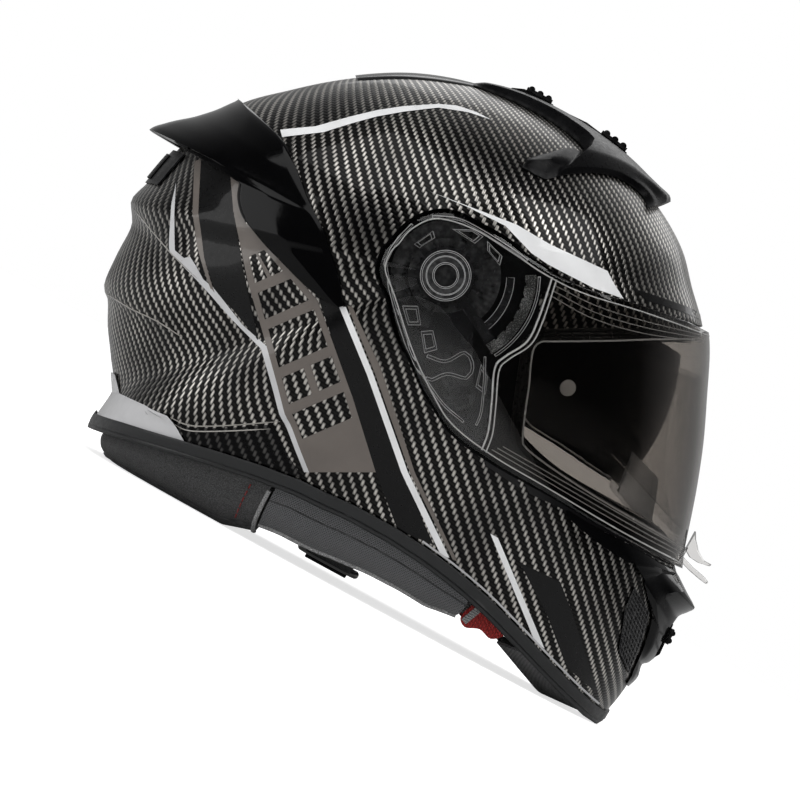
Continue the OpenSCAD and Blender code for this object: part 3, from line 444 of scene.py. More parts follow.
def sweep(stations, section, sides=(1, -1), level=False):
    """A bar swept along side-view stations (x, z, nx, nz); its section's points are (offset, depth)"""
    n, m = len(stations), len(section)
    both = len(sides) == 2

    def rimmed(s):
        a, r = polar(s)
        return r > reach(a) - 1

    def flat_at(p, d):
        a, r = polar(p)
        x, z = spot(a, min(r, reach(a)) - d)
        return (x, 0, z)

    def level_at(p, d, flat):
        q = flat_at(p, 0) if flat else at(p[0], p[1], 0)
        g = (q[0] / NECK_A ** 2, q[1] / NECK_B ** 2)
        k = math.hypot(*g)
        return (q[0] - d * g[0] / k, q[1] - d * g[1] / k, q[2])
    rows = []
    for i, s in enumerate(stations):
        end = both and i in (0, n - 1) and rimmed(s)
        row = []
        for c in section:
            p = (s[0] + s[2] * c[0], s[1] + s[3] * c[0])
            if level:
                v = level_at(p, c[1], end)
            else:
                v = flat_at(p, c[1]) if end else at(p[0], p[1], c[1])
            row.append(v)
        rows.append(row)
    verts, faces = [], []
    for side in sides:
        base = len(verts)
        verts += mirrored([p for row in rows for p in row], side)
        faces += bands(n, m, base)
        faces += [cap for i, cap in zip((0, n - 1), caps(n, m, base))
                  if not (both and all(abs(p[1]) < 0.002 for p in rows[i]))]
    return verts, faces


def round_section(points, radius=0.6, steps=3):
    """Rounds the corners of a closed section"""
    out = []
    n = len(points)
    for i in range(n):
        p0, p1, p2 = (np.array(points[(i + k) % n], float) for k in (-1, 0, 1))
        d0, d2 = p0 - p1, p2 - p1
        r = min(radius, np.linalg.norm(d0) * 0.45, np.linalg.norm(d2) * 0.45)
        a, b = p1 + d0 / np.linalg.norm(d0) * r, p1 + d2 / np.linalg.norm(d2) * r
        for k in range(steps + 1):
            t = k / steps
            out.append(tuple((1 - t) ** 2 * a + 2 * t * (1 - t) * p1 + t * t * b))
    return out


def rim_stations(angles, f=lambda x, z: 1):
    """Stations for a sweep along the shell's lower edge; f scales the offset down"""
    out = []
    for a in angles:
        x, z = spot(a, edge(a))
        out.append((x, z, 0, -f(x, z)))
    return out


def inside(p, poly):
    hit = False
    for (x0, z0), (x1, z1) in zip(poly, poly[1:] + poly[:1]):
        if (z0 > p[1]) != (z1 > p[1]) and p[0] < (x1 - x0) * (p[1] - z0) / (z1 - z0) + x0:
            hit = not hit
    return hit


def dense(poly, step):
    out = []
    for (x0, z0), (x1, z1) in zip(poly, poly[1:] + poly[:1]):
        n = max(1, math.ceil(math.hypot(x1 - x0, z1 - z0) / step))
        out += [(x0 + (x1 - x0) * k / n, z0 + (z1 - z0) * k / n) for k in range(n)]
    return out


def flat_mesh(poly, holes=(), grid=3.0):
    """Triangles that fill a side-view polygon, with points inside it too"""
    loops = [dense(list(poly), grid)] + [dense(list(h), grid) for h in holes]
    pts, edges = [], []
    for loop in loops:
        base = len(pts)
        pts += loop
        edges += [(base + i, base + (i + 1) % len(loop)) for i in range(len(loop))]
    border = np.array(pts)
    xs, zs = [p[0] for p in poly], [p[1] for p in poly]
    x = math.floor(min(xs) / grid) * grid
    while x < max(xs):
        z = math.floor(min(zs) / grid) * grid
        while z < max(zs):
            if inside((x, z), loops[0]) and not any(inside((x, z), h) for h in loops[1:]):
                if np.min(np.hypot(border[:, 0] - x, border[:, 1] - z)) > grid * 0.45:
                    pts.append((x, z))
            z += grid
        x += grid
    v, e, f, *_ = delaunay_2d_cdt([Vector(p) for p in pts], edges, [], 0, 1e-5)
    keep = []
    for t in f:
        c = (sum(v[i][0] for i in t) / 3, sum(v[i][1] for i in t) / 3)
        if inside(c, loops[0]) and not any(inside(c, h) for h in loops[1:]):
            keep.append(tuple(t))
    return [(p[0], p[1]) for p in v], keep


def decal(name, poly, material, lift=0.2, holes=(), grid=3.0, uv=None):
    """A thin painted sheet over the shell, on both sides"""
    pts, tris = flat_mesh(poly, holes, grid)
    verts, faces = [], []
    for side in (1, -1):
        base = len(verts)
        verts += [skin_point(x, z, lift, side) for x, z in pts]
        # faces look outward on both sides
        for t in tris:
            a, b, c = (np.array(verts[base + i]) for i in t)
            n = np.cross(b - a, c - a)
            faces.append(tuple(base + i for i in (t if n[1] * side > 0 else t[::-1])))
    return make(name, verts, faces, material, uv=uv, solid=False, merge=False, slot="carbon_laminate")


def prism(poly, y0, y1, side=1, holes=()):
    """A side-view polygon drawn out across the helmet"""
    pts, tris = flat_mesh(poly, holes, 400)
    n = len(pts)
    verts = [(x, side * y0, z) for x, z in pts] + [(x, side * y1, z) for x, z in pts]
    faces = [tuple(t) for t in tris] + [tuple(n + i for i in t[::-1]) for t in tris]
    count = {}
    for t in tris:
        for a, b in zip(t, t[1:] + t[:1]):
            count[frozenset((a, b))] = count.get(frozenset((a, b)), 0) + 1
    faces += [(a, b, n + b, n + a) for a, b in (tuple(k) for k, c in count.items() if c == 1)]
    return verts, faces


def join(*parts):
    verts, faces = [], []
    for v, f in parts:
        base = len(verts)
        verts += list(v)
        faces += [tuple(base + i for i in t) for t in f]
    return verts, faces


def arc(cx, cz, r, a0, a1, n):
    return [(cx + r * math.cos(math.radians(a0 + (a1 - a0) * k / n)),
             cz + r * math.sin(math.radians(a0 + (a1 - a0) * k / n))) for k in range(n + 1)]


def circle(cx, cz, r, n=40):
    return arc(cx, cz, r, 0, 360, n)[:-1]


def lathe(profile, cx, cz, side=1, n=48):
    """A ring or disc about an axis across the helmet; the profile is a closed line of (radius, y)"""
    verts = []
    for i in range(n):
        c, s = math.cos(2 * math.pi * i / n), math.sin(2 * math.pi * i / n)
        verts += [(cx + r * c, side * y, cz + r * s) for r, y in profile]
    return verts, bands(n, len(profile), closed=True)


def stroke(path, width):
    """The outline of a line drawn with a pen of that width"""
    p = [np.array(q, float) for q in path]
    left, right = [], []
    for i, q in enumerate(p):
        pen = half_pen(p, i, width)
        left.append(tuple(q + pen))
        right.append(tuple(q - pen))
    return left + right[::-1]


def tube(path, radius, n=8):
    """A round bar along 3-D points"""
    p = [np.array(q, float) for q in path]
    verts = []
    up = np.array([0.31, 0.2, 0.93])
    for i, q in enumerate(p):
        d = p[min(i + 1, len(p) - 1)] - p[max(i - 1, 0)]
        d = d / np.linalg.norm(d)
        u = np.cross(d, up)
        u /= np.linalg.norm(u)
        w = np.cross(u, d)
        up = w
        verts += [tuple(q + radius * (u * math.cos(2 * math.pi * k / n) + w * math.sin(2 * math.pi * k / n)))
                  for k in range(n)]
    return verts, bands(len(p), n) + caps(len(p), n)


def stitches(path, length=2.6, gap=1.4, radius=0.35):
    """Short thread bars along a dense 3-D line"""
    parts, run, start = [], [], 0.0
    p = [np.array(q, float) for q in path]
    for q, r in zip(p, p[1:]):
        step = np.linalg.norm(r - q)
        if start < length:
            run.append(q)
        start += step
        if start >= length and run:
            run.append(r)
            if len(run) > 1:
                parts.append(tube(run, radius, 5))
            run = []
        if start >= length + gap:
            start = 0.0
    return join(*parts)


# Materials
class Val:
    """A shader value to calculate with"""
    def __init__(self, tree, socket):
        self.tree, self.socket = tree, socket

    def __add__(self, other):
        return self.tree.math("ADD", self, other)

    def __sub__(self, other):
        return self.tree.math("SUBTRACT", self, other)

    def __rsub__(self, other):
        return self.tree.math("SUBTRACT", other, self)

    def __mul__(self, other):
        return self.tree.math("MULTIPLY", self, other)

    def __truediv__(self, other):
        return self.tree.math("DIVIDE", self, other)

    def __mod__(self, other):
        return self.tree.math("MODULO", self, other)

    def __pow__(self, other):
        return self.tree.math("POWER", self, other)

    def __lt__(self, other):
        return self.tree.math("LESS_THAN", self, other)

    def __abs__(self):
        return self.tree.math("ABSOLUTE", self)


class Tree:
    """The nodes of a material or of the world"""
    def __init__(self, name, world=False):
        self.mat = (bpy.data.worlds if world else bpy.data.materials).new(name)
        self.mat.use_nodes = True
        self.nt = self.mat.node_tree
        self.p = self.nt.nodes["Background" if world else "Principled BSDF"]
        self.out = self.nt.nodes["World Output" if world else "Material Output"]

    def put(self, socket, v):
        if isinstance(v, Val):
            v = v.socket
        if isinstance(v, bpy.types.NodeSocket):
            self.nt.links.new(v, socket)
        else:
            socket.default_value = v

    def set(self, **values):
        for k, v in values.items():
            self.put(self.p.inputs[k.replace("_", " ")], v)

    def node(self, kind, *values, **named):
        n = self.nt.nodes.new(kind)
        for socket, v in zip(n.inputs, values):
            self.put(socket, v)
        for k, v in named.items():
            self.put(n.inputs[k], v)
        return n

    def math(self, op, a, b=0.0, clamp=False):
        n = self.node("ShaderNodeMath", a, b, 0.0)
        n.operation = op
        n.use_clamp = clamp
        return Val(self, n.outputs[0])

    def both(self, a, b):
        """Product held between 0 and 1"""
        return self.math("MULTIPLY", a, b, clamp=True)

    def ramp(self, value, lo, hi, a=0, b=1):
        return Val(self, self.node("ShaderNodeMapRange", value, lo, hi, a, b).outputs[0])

    def mix(self, fac, a, b):
        n = self.nt.nodes.new("ShaderNodeMix")
        n.data_type = "RGBA"
        for i, v in ((0, fac), (6, a), (7, b)):
            self.put(n.inputs[i], v)
        return Val(self, n.outputs[2])

    def coord(self, which="Object"):
        if not hasattr(self, "tc"):
            self.tc = self.nt.nodes.new("ShaderNodeTexCoord")
        return self.tc.outputs[which]

    def uv(self):
        n = self.nt.nodes.new("ShaderNodeUVMap")
        n.uv_map = "UVMap"
        return self.split(n.outputs[0])[:2]

    def split(self, vector):
        return [Val(self, o) for o in self.node("ShaderNodeSeparateXYZ", vector).outputs]

    def noise(self, scale, detail=2.0, coord=None):
        n = self.node("ShaderNodeTexNoise", Scale=scale, Detail=detail, Roughness=0.5,
                      Vector=coord or self.coord())
        return Val(self, n.outputs["Fac"])

    def patches(self, scale, detail, lo, hi, a=0, b=1):
        return self.ramp(self.noise(scale, detail), lo, hi, a, b)

    def voronoi(self, scale, feature="F1"):
        n = self.node("ShaderNodeTexVoronoi", Scale=scale, Vector=self.coord())
        n.feature = feature
        return Val(self, n.outputs["Distance"])

    def bump(self, height, distance, strength):
        n = self.node("ShaderNodeBump", Height=height, Distance=distance, Strength=strength)
        self.put(self.p.inputs["Normal"], n.outputs[0])

    def clear(self, shadow):
        """Lets light through in the shadow pass, as thin plastic does"""
        shade = self.nt.nodes.new("ShaderNodeLightPath").outputs["Is Shadow Ray"]
        see = self.node("ShaderNodeBsdfTransparent", grey(shadow))
        mix = self.node("ShaderNodeMixShader", shade, self.p.outputs[0], see.outputs[0])
        self.put(self.out.inputs[0], mix.outputs[0])


def grey(v):
    return (v, v, v, 1)


def tone(colour, k=1):
    return tuple(c * k for c in colour) + (1,)


def carbon(name, tow=1.72, coat=0.3, bright=(0.92, 0.88, 0.82), shear=1.2):
    """2 x 2 twill of carbon tows under clear lacquer; its colour holds painted highlights and shade: pale warp
    floats, near-black weft, paler crowns and large soft patches
    """
    t = Tree(name)
    u, v = (c / (tow * 0.001) for c in t.uv())
    # the draped cloth is sheared a little, which stretches it along its ribs
    m, d = (u + v) * 0.5, (u - v) * (0.5 / shear)
    u, v = m + d + 4000.0, m - d + 4000.0
    fu, fv = t.math("FRACT", u), t.math("FRACT", v)
    k = (t.math("FLOOR", u) + t.math("FLOOR", v)) % 4.0
    warp = k < 1.5
    weft = 1.0 - warp
    along = warp * ((k + fv) * 0.5) + weft * ((k - 2.0 + fu) * 0.5)
    across = warp * fu + weft * fv
    crown = t.both(1.0 - abs(along * 2.0 - 1.0) ** 3.0, 1.0 - abs(across * 2.0 - 1.0) ** 2.4)
    # fine fibre noise, times large soft patches that are painted light and shade across the surface
    shade = (t.noise(5200.0, 1.0) * 0.5 + 0.75) * t.patches(24.0, 2.0, 0.32, 0.68, 0.5, 1.5)
    # warp floats pale and weft floats near black: the difference that light makes between the two directions,
    # painted into the colour
    light = t.mix(warp, tone(bright, 0.022), tone(bright))
    tangent = t.nt.nodes.new("ShaderNodeTangent")
    tangent.direction_type = "UV_MAP"
    tangent.uv_map = "UVMap"
    # the colour is pale on each float's crown, a painted highlight, and near black towards its ends and sides
    t.set(Base_Color=t.mix(t.both(crown ** 1.5, shade), (0.004, 0.004, 0.005, 1), light), Metallic=1.0,
          Roughness=0.3, Anisotropic=0.5, Anisotropic_Rotation=warp * 0.25, Tangent=tangent.outputs[0],
          Coat_Weight=coat, Coat_Roughness=0.035, Coat_IOR=1.42)
    t.bump(crown ** 0.6, 0.0004, 0.45)
    return t.mat


def paint(name, colour, rough=0.3, coat=1.0, gloss=0.5):
    """Lacquered paint with faint orange peel, a little dust and the cloth just felt through it"""
    t = Tree(name)
    t.set(Base_Color=t.mix(t.patches(60.0, 4.0, 0.3, 0.7), tone(colour, 0.86), tone(colour)),
          Roughness=t.patches(420.0, 3.0, 0.3, 0.7, rough * 0.8, rough * 1.3),
          Coat_Weight=coat, Coat_Roughness=0.05, Specular_IOR_Level=gloss)
    t.bump(t.noise(900.0, 1.0), 0.00006, 0.5)
    return t.mat


def plastic(name, value, rough, grain=2600.0, depth=0.00006, gloss=0.5, wear_and_glint=0.0):
    """Moulded plastic: fine grain, slightly uneven sheen, pointed edges a little lighter, partly as rubbing and
    partly as a painted highlight
    """
    t = Tree(name)
    base = t.mix(t.patches(90.0, 4.0, 0.25, 0.75), tone(value, 0.75), tone(value))
    if wear_and_glint:
        # edges lighter where the mesh is pointed: partly rubbed wear, partly a painted highlight
        edges = t.nt.nodes.new("ShaderNodeNewGeometry").outputs["Pointiness"]
        rub = t.ramp(edges, 0.52, 0.58) * t.patches(300.0, 3.0, 0.4, 0.65, 0.2, 1)
        base = t.mix(t.both(rub, wear_and_glint), base, grey(0.16))
    t.set(Base_Color=base, Roughness=t.patches(500.0, 4.0, 0.3, 0.7, rough * 0.8, rough * 1.25),
          Specular_IOR_Level=gloss)
    if depth:
        t.bump(t.voronoi(grain), depth, 0.6)
    return t.mat


def speckle(name, low, high):
    """Spark-eroded moulding; the pale specks in its colour are painted glints"""
    t = Tree(name)
    n = t.noise(1900.0) * 0.75 + t.noise(160.0) * 0.25
    # pale specks in the colour: painted glints
    t.set(Base_Color=t.mix(t.ramp(n, 0.5, 0.66), tone(low), tone(high)),
          Roughness=t.ramp(n, 0.3, 0.7, 0.25, 0.5))
    t.bump(n, 0.0003, 0.8)
    return t.mat


def leather(name, value, scale=1150.0, depth=0.00022, rough=0.62):
    """Coated cloth with a grained face"""
    t = Tree(name)
    pits = t.ramp(t.voronoi(scale, "DISTANCE_TO_EDGE"), 0.0, 0.12)
    grit = t.both(pits, t.patches(1700.0, 2.0, 0.35, 0.65, 0.15, 1.0))
    t.set(Base_Color=t.mix(grit, tone(value, 0.25), tone(value)),
          Roughness=t.patches(200.0, 3.0, 0.3, 0.7, rough * 0.85, rough * 1.15),
          Sheen_Weight=0.12, Sheen_Roughness=0.4)
    t.bump(pits + t.noise(60.0, 4.0) * 1.4, depth, 0.8)
    return t.mat


def knit(name, value, hole, scale=720.0, sheen=0.25):
    """Open mesh cloth: round holes in staggered rows over a darker foam"""
    t = Tree(name)
    u, v = t.uv()
    u, v = u * scale, v * (scale * 1.15)
    u = u + (t.math("FLOOR", v) + 4000.0) % 2.0 * 0.5
    du, dv = t.math("FRACT", u) - 0.5, t.math("FRACT", v) - 0.5
    h = t.ramp(t.math("SQRT", du * du + dv * dv), 0.16, 0.34)
    yarn = h * t.patches(2600.0, 2.0, 0.3, 0.7, 0.7, 1.1)
    t.set(Base_Color=t.mix(yarn, tone(hole), tone(value)), Roughness=0.8,
          Sheen_Weight=sheen, Sheen_Roughness=0.5)
    t.bump(h, 0.0003, 0.9)
    return t.mat


def plush(name, value):
    """Brushed tricot of the comfort lining"""
    t = Tree(name)
    n = t.noise(1500.0, 3.0)
    pile = t.ramp(n + t.noise(30.0, 3.0) * 0.6, 0.5, 1.1)
    t.set(Base_Color=t.mix(pile, tone(value, 0.55), tone(value, 1.2)),
          Roughness=0.92, Sheen_Weight=0.4, Sheen_Roughness=0.35)
    t.bump(n, 0.0004, 0.7)
    return t.mat


def beads(name, value):
    """Expanded foam: pressed beads, painted dark"""
    t = Tree(name)
    d = t.voronoi(330.0, "DISTANCE_TO_EDGE")
    t.set(Base_Color=t.mix(t.ramp(d, 0.0, 0.05), tone(value, 0.5), tone(value)),
          Roughness=t.patches(120.0, 3.0, 0.3, 0.7, 0.6, 0.8))
    t.bump(t.ramp(d, 0.0, 0.2), 0.0004, 0.8)
    return t.mat


def tape(name, value, pitch=900.0, rough=0.7):
    """Woven webbing: ribs across the run, from its UV in metres"""
    t = Tree(name)
    u, v = t.uv()
    a = t.math("SINE", u * (pitch * 6.2832))
    b = t.math("SINE", v * (pitch * 4.0) + u * (pitch * 3.1416))
    h = (a + 1.0) * (b + 1.6)
    t.set(Base_Color=t.mix(t.ramp(h, 0, 4.5), tone(value, 0.45), tone(value)),
          Roughness=rough, Sheen_Weight=0.2, Sheen_Roughness=0.4)
    t.bump(h, 0.00022, 0.8)
    return t.mat


def steel(name, value=0.62, rough=0.3):
    """Brushed metal"""
    t = Tree(name)
    drawn = t.node("ShaderNodeMapping", Vector=t.coord(), Scale=(300.0, 4000.0, 300.0))
    s = t.noise(1.0, 2.0, drawn.outputs[0])
    t.set(Base_Color=t.mix(t.patches(40.0, 2.0, 0.3, 0.7), grey(value * 0.85), grey(value)),
          Roughness=t.ramp(s, 0.2, 0.8, rough * 0.7, rough * 1.4), Metallic=1.0)
    t.bump(s, 0.00003, 0.5)
    return t.mat


def glassy(name, colour, rough=0.0, ior=1.49, weight=1.0, shadow=0.8, smudge=0.012):
    """Clear or tinted plastic with a few smudges"""
    t = Tree(name)
    t.set(Base_Color=t.mix(t.patches(14.0, 2.0, 0.3, 0.7), tone(colour, 0.985), tone(colour)),
          Roughness=t.patches(70.0, 4.0, 0.45, 0.8, rough, rough + smudge),
          IOR=ior, Transmission_Weight=weight)
    t.clear(shadow)
    return t.mat


CARBON = carbon("carbon_twill")
# A dimmed copy of the carbon: painted shade for the facet below a crease
CARBON_PAINTED_SHADE = carbon("carbon_twill_painted_shade", bright=(0.13, 0.125, 0.12))
# Paler paint for the crease crests: a painted highlight
CREST_HIGHLIGHT = paint("crest_painted_highlight", (0.4, 0.38, 0.35), 0.3, 1.0)
WHITE = paint("paint_white", (0.93, 0.935, 0.94), 0.35)
TAUPE = paint("paint_taupe", (0.15, 0.128, 0.112), 0.4, 0.7)
SILVER = paint("paint_light_grey", (0.62, 0.62, 0.63), 0.4, 0.7)
INK = paint("paint_black", (0.003, 0.003, 0.0033), 0.3, 0.35, 0.15)
GLOSS = plastic("gloss_black", (0.002, 0.002, 0.0023), 0.1, 700.0, 0.00001, 0.2)
# The last number of some plastics below lightens their pointed edges: partly wear, partly a painted highlight
VENT = plastic("vent_black", (0.0025, 0.0025, 0.003), 0.3, 2400.0, 0.00003, 0.1, 0.15)
RECESS = plastic("recess_black", (0.005, 0.005, 0.0055), 0.16, 1500.0, 0, 0.35)
# Paler plastic for rounded edges: a painted highlight standing for the glint of light along them
EDGE_HIGHLIGHT = plastic("painted_edge_highlight", (0.5, 0.5, 0.5), 0.25, 1500.0, 0.00001, 0.6)
# Pale plastic: of the lens pins, and of the sun visor's edge bead, where it is a painted highlight
PIN = plastic("pin_pale_and_bead_highlight", (0.85, 0.85, 0.84), 0.2, 900.0, 0.00001, 0.6)
BLACK = plastic("satin_black", (0.011, 0.011, 0.012), 0.42, 2400.0, 0.00005, 0.45, 0.35)
GEAR = plastic("mechanism_black", (0.007, 0.007, 0.008), 0.22, 1800.0, 0, 0.45, 0.3)
SECTOR = speckle("sector_painted_glints", (0.012, 0.012, 0.012), (0.42, 0.42, 0.41))
RUBBER = plastic("rubber", (0.016, 0.017, 0.018), 0.36, 3200.0, 0.00003, 0.6, 0.25)
SEAL = plastic("seal_rubber", (0.012, 0.012, 0.012), 0.3, 2000.0, 0.00003, 0.5)
LEATHER = leather("leatherette", (0.12, 0.12, 0.122))
KNIT = knit("mesh_knit", (0.14, 0.142, 0.147), (0.003, 0.003, 0.0035))
PLUSH = plush("brushed_lining", (0.05, 0.051, 0.056))
FOAM = beads("foam_beads", (0.035, 0.035, 0.038))
WEB = tape("webbing", (0.03, 0.03, 0.033))
RED = tape("red_tape", (0.62, 0.035, 0.03), 700.0)
PALE = tape("pale_tape", (0.62, 0.62, 0.62), 800.0)
PIPING = leather("grey_piping", (0.55, 0.55, 0.55), 900.0, 0.0001)
THREAD = tape("red_thread", (0.5, 0.02, 0.02), 1500.0)
STEEL = steel("brushed_steel")
DARK_STEEL = steel("black_screws", 0.06, 0.28)
CLEAR = glassy("clear_visor", (0.47, 0.445, 0.42), shadow=0.6)
EAR = glassy("clear_ear", (0.97, 0.97, 0.965), shadow=0.9)
TAB = glassy("clear_tab", (0.72, 0.71, 0.7), 0.05, shadow=0.7)
# Paler, less clear plastic for the raised lines on the visor: painted highlight lines
EDGE = glassy("pane_line_painted_highlight", (0.62, 0.62, 0.61), 0.25, 1.49, 0.4, 0.8, 0.05)
LENS = glassy("clear_lens", (0.93, 0.92, 0.91))
FROST = glassy("frosted_lip", (0.96, 0.97, 0.98), 0.2, 1.3, 0.85, 0.9, 0.1)
SMOKE = glassy("smoke_visor", (0.012, 0.011, 0.011), 0.02, 1.46, 0.7, 0.12)

# Outer shell
FINE = 1.2
front_angles = [RIM_FRONT, -38.5, PORT_LOW, -32, -28.5, -25.5, -23.2, -22.2, -21.3, -20.8, PORT_MID, -14.5,
                -8.6, -3, 3, 9, 12.5, 14.2, 15.1, PORT_TOP, 17.3]
back_angles = [18.2, 20, 23, 27, 32, 40, 51, 64, 78, 92, 106, 120, 133, 145, 155, 164, 172, 180, 188, 197, 206,
               214, 221, 226,
               RIM_REAR, RIM_REAR + 0.4, RIM_REAR + 1, RIM_REAR + 2, RIM_REAR + 4.5, RIM_REAR + 9,
               247, 259, 271, 284, 297, 308,
               RIM_FRONT + 356, RIM_FRONT + 357.2, RIM_FRONT + 358.2, RIM_FRONT + 359.3]
shell_angles = refine(front_angles + back_angles, FINE)
# Where the port's lower edge begins, in its first column
PORT_CORNER = 87.4


def shell_stops(a):
    s, w, p = step_edge(a), edge(a), pocket(a)
    low = STEP if s + 1.2 >= w else 0
    flat = STEP if p > POCKET_R + 1 or s > POCKET_R + 9 else POCKET
    q = s if s < p + 3 else p + 2
    if PORT_LOW <= a <= PORT_TOP:
        corner = PORT_CORNER if a == PORT_LOW else BIG
        r1, r2 = min(port_in(a), corner), min(w, port_out(a), corner)
    else:
        # above the port the rows fan out from the middle, a little more in each column
        k = min((a - PORT_TOP) / 16, 1) ** 2 if a > PORT_TOP else 1
        r1, r2 = (q + (1 - part * k) * (s - q) for part in (0.2, 0.14))
    r3 = min(s + 1.2, w)
    r4 = max(w - 7, r3) if rim(a) < reach(a) else reach(a) * untilt(tilt(r3 / reach(a)) / 5)
    outer = [(0, POCKET), (p, POCKET), (q, flat), (r1, flat), (r2, flat), (min(s, w), flat),
             (r3, low), (r4, low), (w, low)]
    return [(r, d, d + SHELL_T) for r, d in outer]


PORT_ROW, PORT_STEPS = 15, 8
shell_steps = [3, 2, 10, PORT_STEPS, 3, 1, 34, 7]
# Slot for the sun visor's slider, on the left side alone: its middle, directions and half sizes
TRACK_P = Vector((45.819, 119.903, 67.812))
TRACK_U = Vector((0.957687, -0.160687, -0.238778))
TRACK_N = Vector((0.128457, 0.981058, -0.144995))
TRACK_W = TRACK_U.cross(TRACK_N)
SLOT_U, SLOT_W = 11.5, 4.5
shell_mid = [(a + b) / 2 for a, b in zip(shell_angles, shell_angles[1:] + [shell_angles[0] + 360])]


def shell_relief(a, s, d):
    return 0 if abs(d) > 0.01 else dent(*spot(a, reach(a) * s))


shell_columns = {}


def shell_gone(i, j, side):
    if PORT_LOW < shell_mid[i] < PORT_TOP and PORT_ROW <= j < PORT_ROW + PORT_STEPS:
        return True
    if side == 1 and 285 < shell_mid[i] < 312 and j >= PORT_ROW + PORT_STEPS + 4:
        if i not in shell_columns:
            shell_columns[i] = [e[0] for e in column(shell_mid[i], shell_stops(shell_mid[i]), shell_steps)]
        c = shell_columns[i]
        p = Vector(on(shell_mid[i], (c[j] + c[j + 1]) / 2, 0)) - TRACK_P
        return abs(p.dot(TRACK_U)) < SLOT_U and abs(p.dot(TRACK_W)) < SLOT_W
    return False


v, f = panel(shell_angles, shell_stops, shell_steps, around=True, gone=shell_gone, relief=shell_relief)
shell = make("outer_shell_carbon", v, f, CARBON, uv=weave_uv, angle=28, rep=["outer_shell"],
             slot="carbon_laminate")


def out_from_pivot(p, d):
    k = 1 + d / math.hypot(p[0] - PX, p[1] - PZ)
    return (PX + (p[0] - PX) * k, PZ + (p[1] - PZ) * k)


# Black moulded frame in the recess; the cloth shows again only above the port
FRAME = ([out_from_pivot(p, 5.5 if p[0] > 25 and p[1] < 100 else 2.2)
          for p in VISOR if p[0] < 33 or p[1] < 100]
         + [(36, 181), (38, 158), (43, 154.6), (50, 158.5), (72, 170.5), (92, 182), (110, 192), (BIG, 195),
            (BIG, 88)])


def second(ob, poly, material):
    """Another material on the faces inside a side-view outline"""
    ob.data.materials.append(material)
    for face in ob.data.polygons:
        if inside((face.center[0] * 1000, face.center[2] * 1000), poly):
            face.material_index = 1


second(shell, FRAME, RECESS)

# Smooth black band along the crown, from the spoiler to the top vent
BAND = [(99, 0.0), (101, 8), (108, 26), (118, 36), (128, 38), (138, 36), (144, 32)]
band_w = soft(BAND)
band_angles = refine([99.2, 101, 105, 110, 118, 126, 134, 142], 1.0)


def band_s(y):
    return (1 - min(1, y / HW) ** RP) ** (1 / RP)


def band_stops(a):
    w, y = reach(a), max(2, band_w(a))
    return [(w * band_s(y), -0.05, 0.6), (w * band_s(max(0.5, y - 3)), -0.95, 0.6),
            (w * band_s(y * 0.4), -1.3, 0.6),
            (w, -1.5, 0.6)]


v, f = panel(band_angles, band_stops, [3, 5, 5])
make("crown_band", v, f, GLOSS, slot="gloss_black", angle=40)

# Painted graphics, without any lettering; among them a facet of darker carbon that is painted shade
decal("top_stripe", [(-115.3, 181.7), (-100.9, 191.2), (-88.4, 203.4), (-78.5, 212.4), (-68.1, 220.3),
      (-53.9, 229.4), (-45.6, 233.1), (-36.1, 234.7), (-27.7, 234.8), (-39.4, 232.6), (-53, 227.7),
      (-66.7, 217.8), (-77, 209.5), (-86.6, 200.2), (-96, 190.4), (-112.6, 178.9)], WHITE)
decal("spear", [(-36.7, 189), (-29.1, 190), (7.3, 194.9), (26.4, 194.3), (56.4, 196.6), (61.5, 193.1),
      (69.7, 188.6), (54.4, 186), (36, 185.4), (29.3, 185.3), (20, 186.2), (2.8, 191.7), (-18.7, 191)], WHITE)
decal("grey_stripe", [(-148.2, 135.3), (-144.8, 125.6), (-136.5, 109.5), (-133.7, 103.7), (-107.9, 95.5),
      (-91.5, 89.7), (-72.2, 84), (-49.4, 61), (-25.7, 41.8), (-23.6, 42.9), (-47.1, 62.3), (-70.5, 86.4),
      (-85.7, 89.9), (-106.9, 99.1), (-112.7, 100.3), (-118.6, 104.5), (-123.3, 107.1), (-125.6, 105.1),
      (-131.4, 106.3), (-140.9, 121.8)], SILVER, 0.22)
decal("black_panel", [(-142.5, 150.4), (-137.9, 156.2), (-130.2, 157.1), (-118.7, 139.8), (-99.3, 115),
      (-75.2, 86.8), (-93.9, 94.3), (-104.5, 97.4), (-117.1, 109.7), (-130.7, 127.3)], INK, 0.2)
decal("taupe_edge", [(-145.4, 148.8), (-142.8, 151), (-130.7, 127.3), (-117.1, 109.7), (-105, 97.1),
      (-107.7, 97.9), (-123.6, 113.6), (-133.2, 126)], TAUPE, 0.24)
TAUPE_PANEL = [(-130.2, 157.1), (-122.7, 155.3), (-118.9, 152.9), (-108.7, 134.2), (-85.8, 126.7),
               (-59.4, 117.5), (-22.4, 84.5), (4.5, 58.2), (-24, 42.7), (-47.1, 62.3), (-70.5, 86.4),
               (-93.3, 109.4), (-115.6, 135.5)]
# Plain slanted windows across the panel
windows = []
run_p = [(-117, 143), (-101, 125), (-82, 106), (-62, 88), (-42, 71), (-22, 55), (-8, 45)]
dense_run = smooth_path(run_p, 1.0)
lengths = np.concatenate([[0], np.cumsum([np.linalg.norm(b - a) for a, b in zip(dense_run, dense_run[1:])])])
across = np.array([0.62, 0.785])


def run_at(s):
    i = min(len(dense_run) - 2, int(np.searchsorted(lengths, s) - 1)) if s > 0 else 0
    t = (s - lengths[i]) / (lengths[i + 1] - lengths[i])
    return dense_run[i] + (dense_run[i + 1] - dense_run[i]) * t


def width_at(p):
    """How far the panel goes each way from the middle line, across it"""
    out = []
    for sign in (-1, 1):
        k = 0.0
        while k < 40 and inside(tuple(p + sign * across * k), TAUPE_PANEL):
            k += 0.4
        out.append(k)
    return out


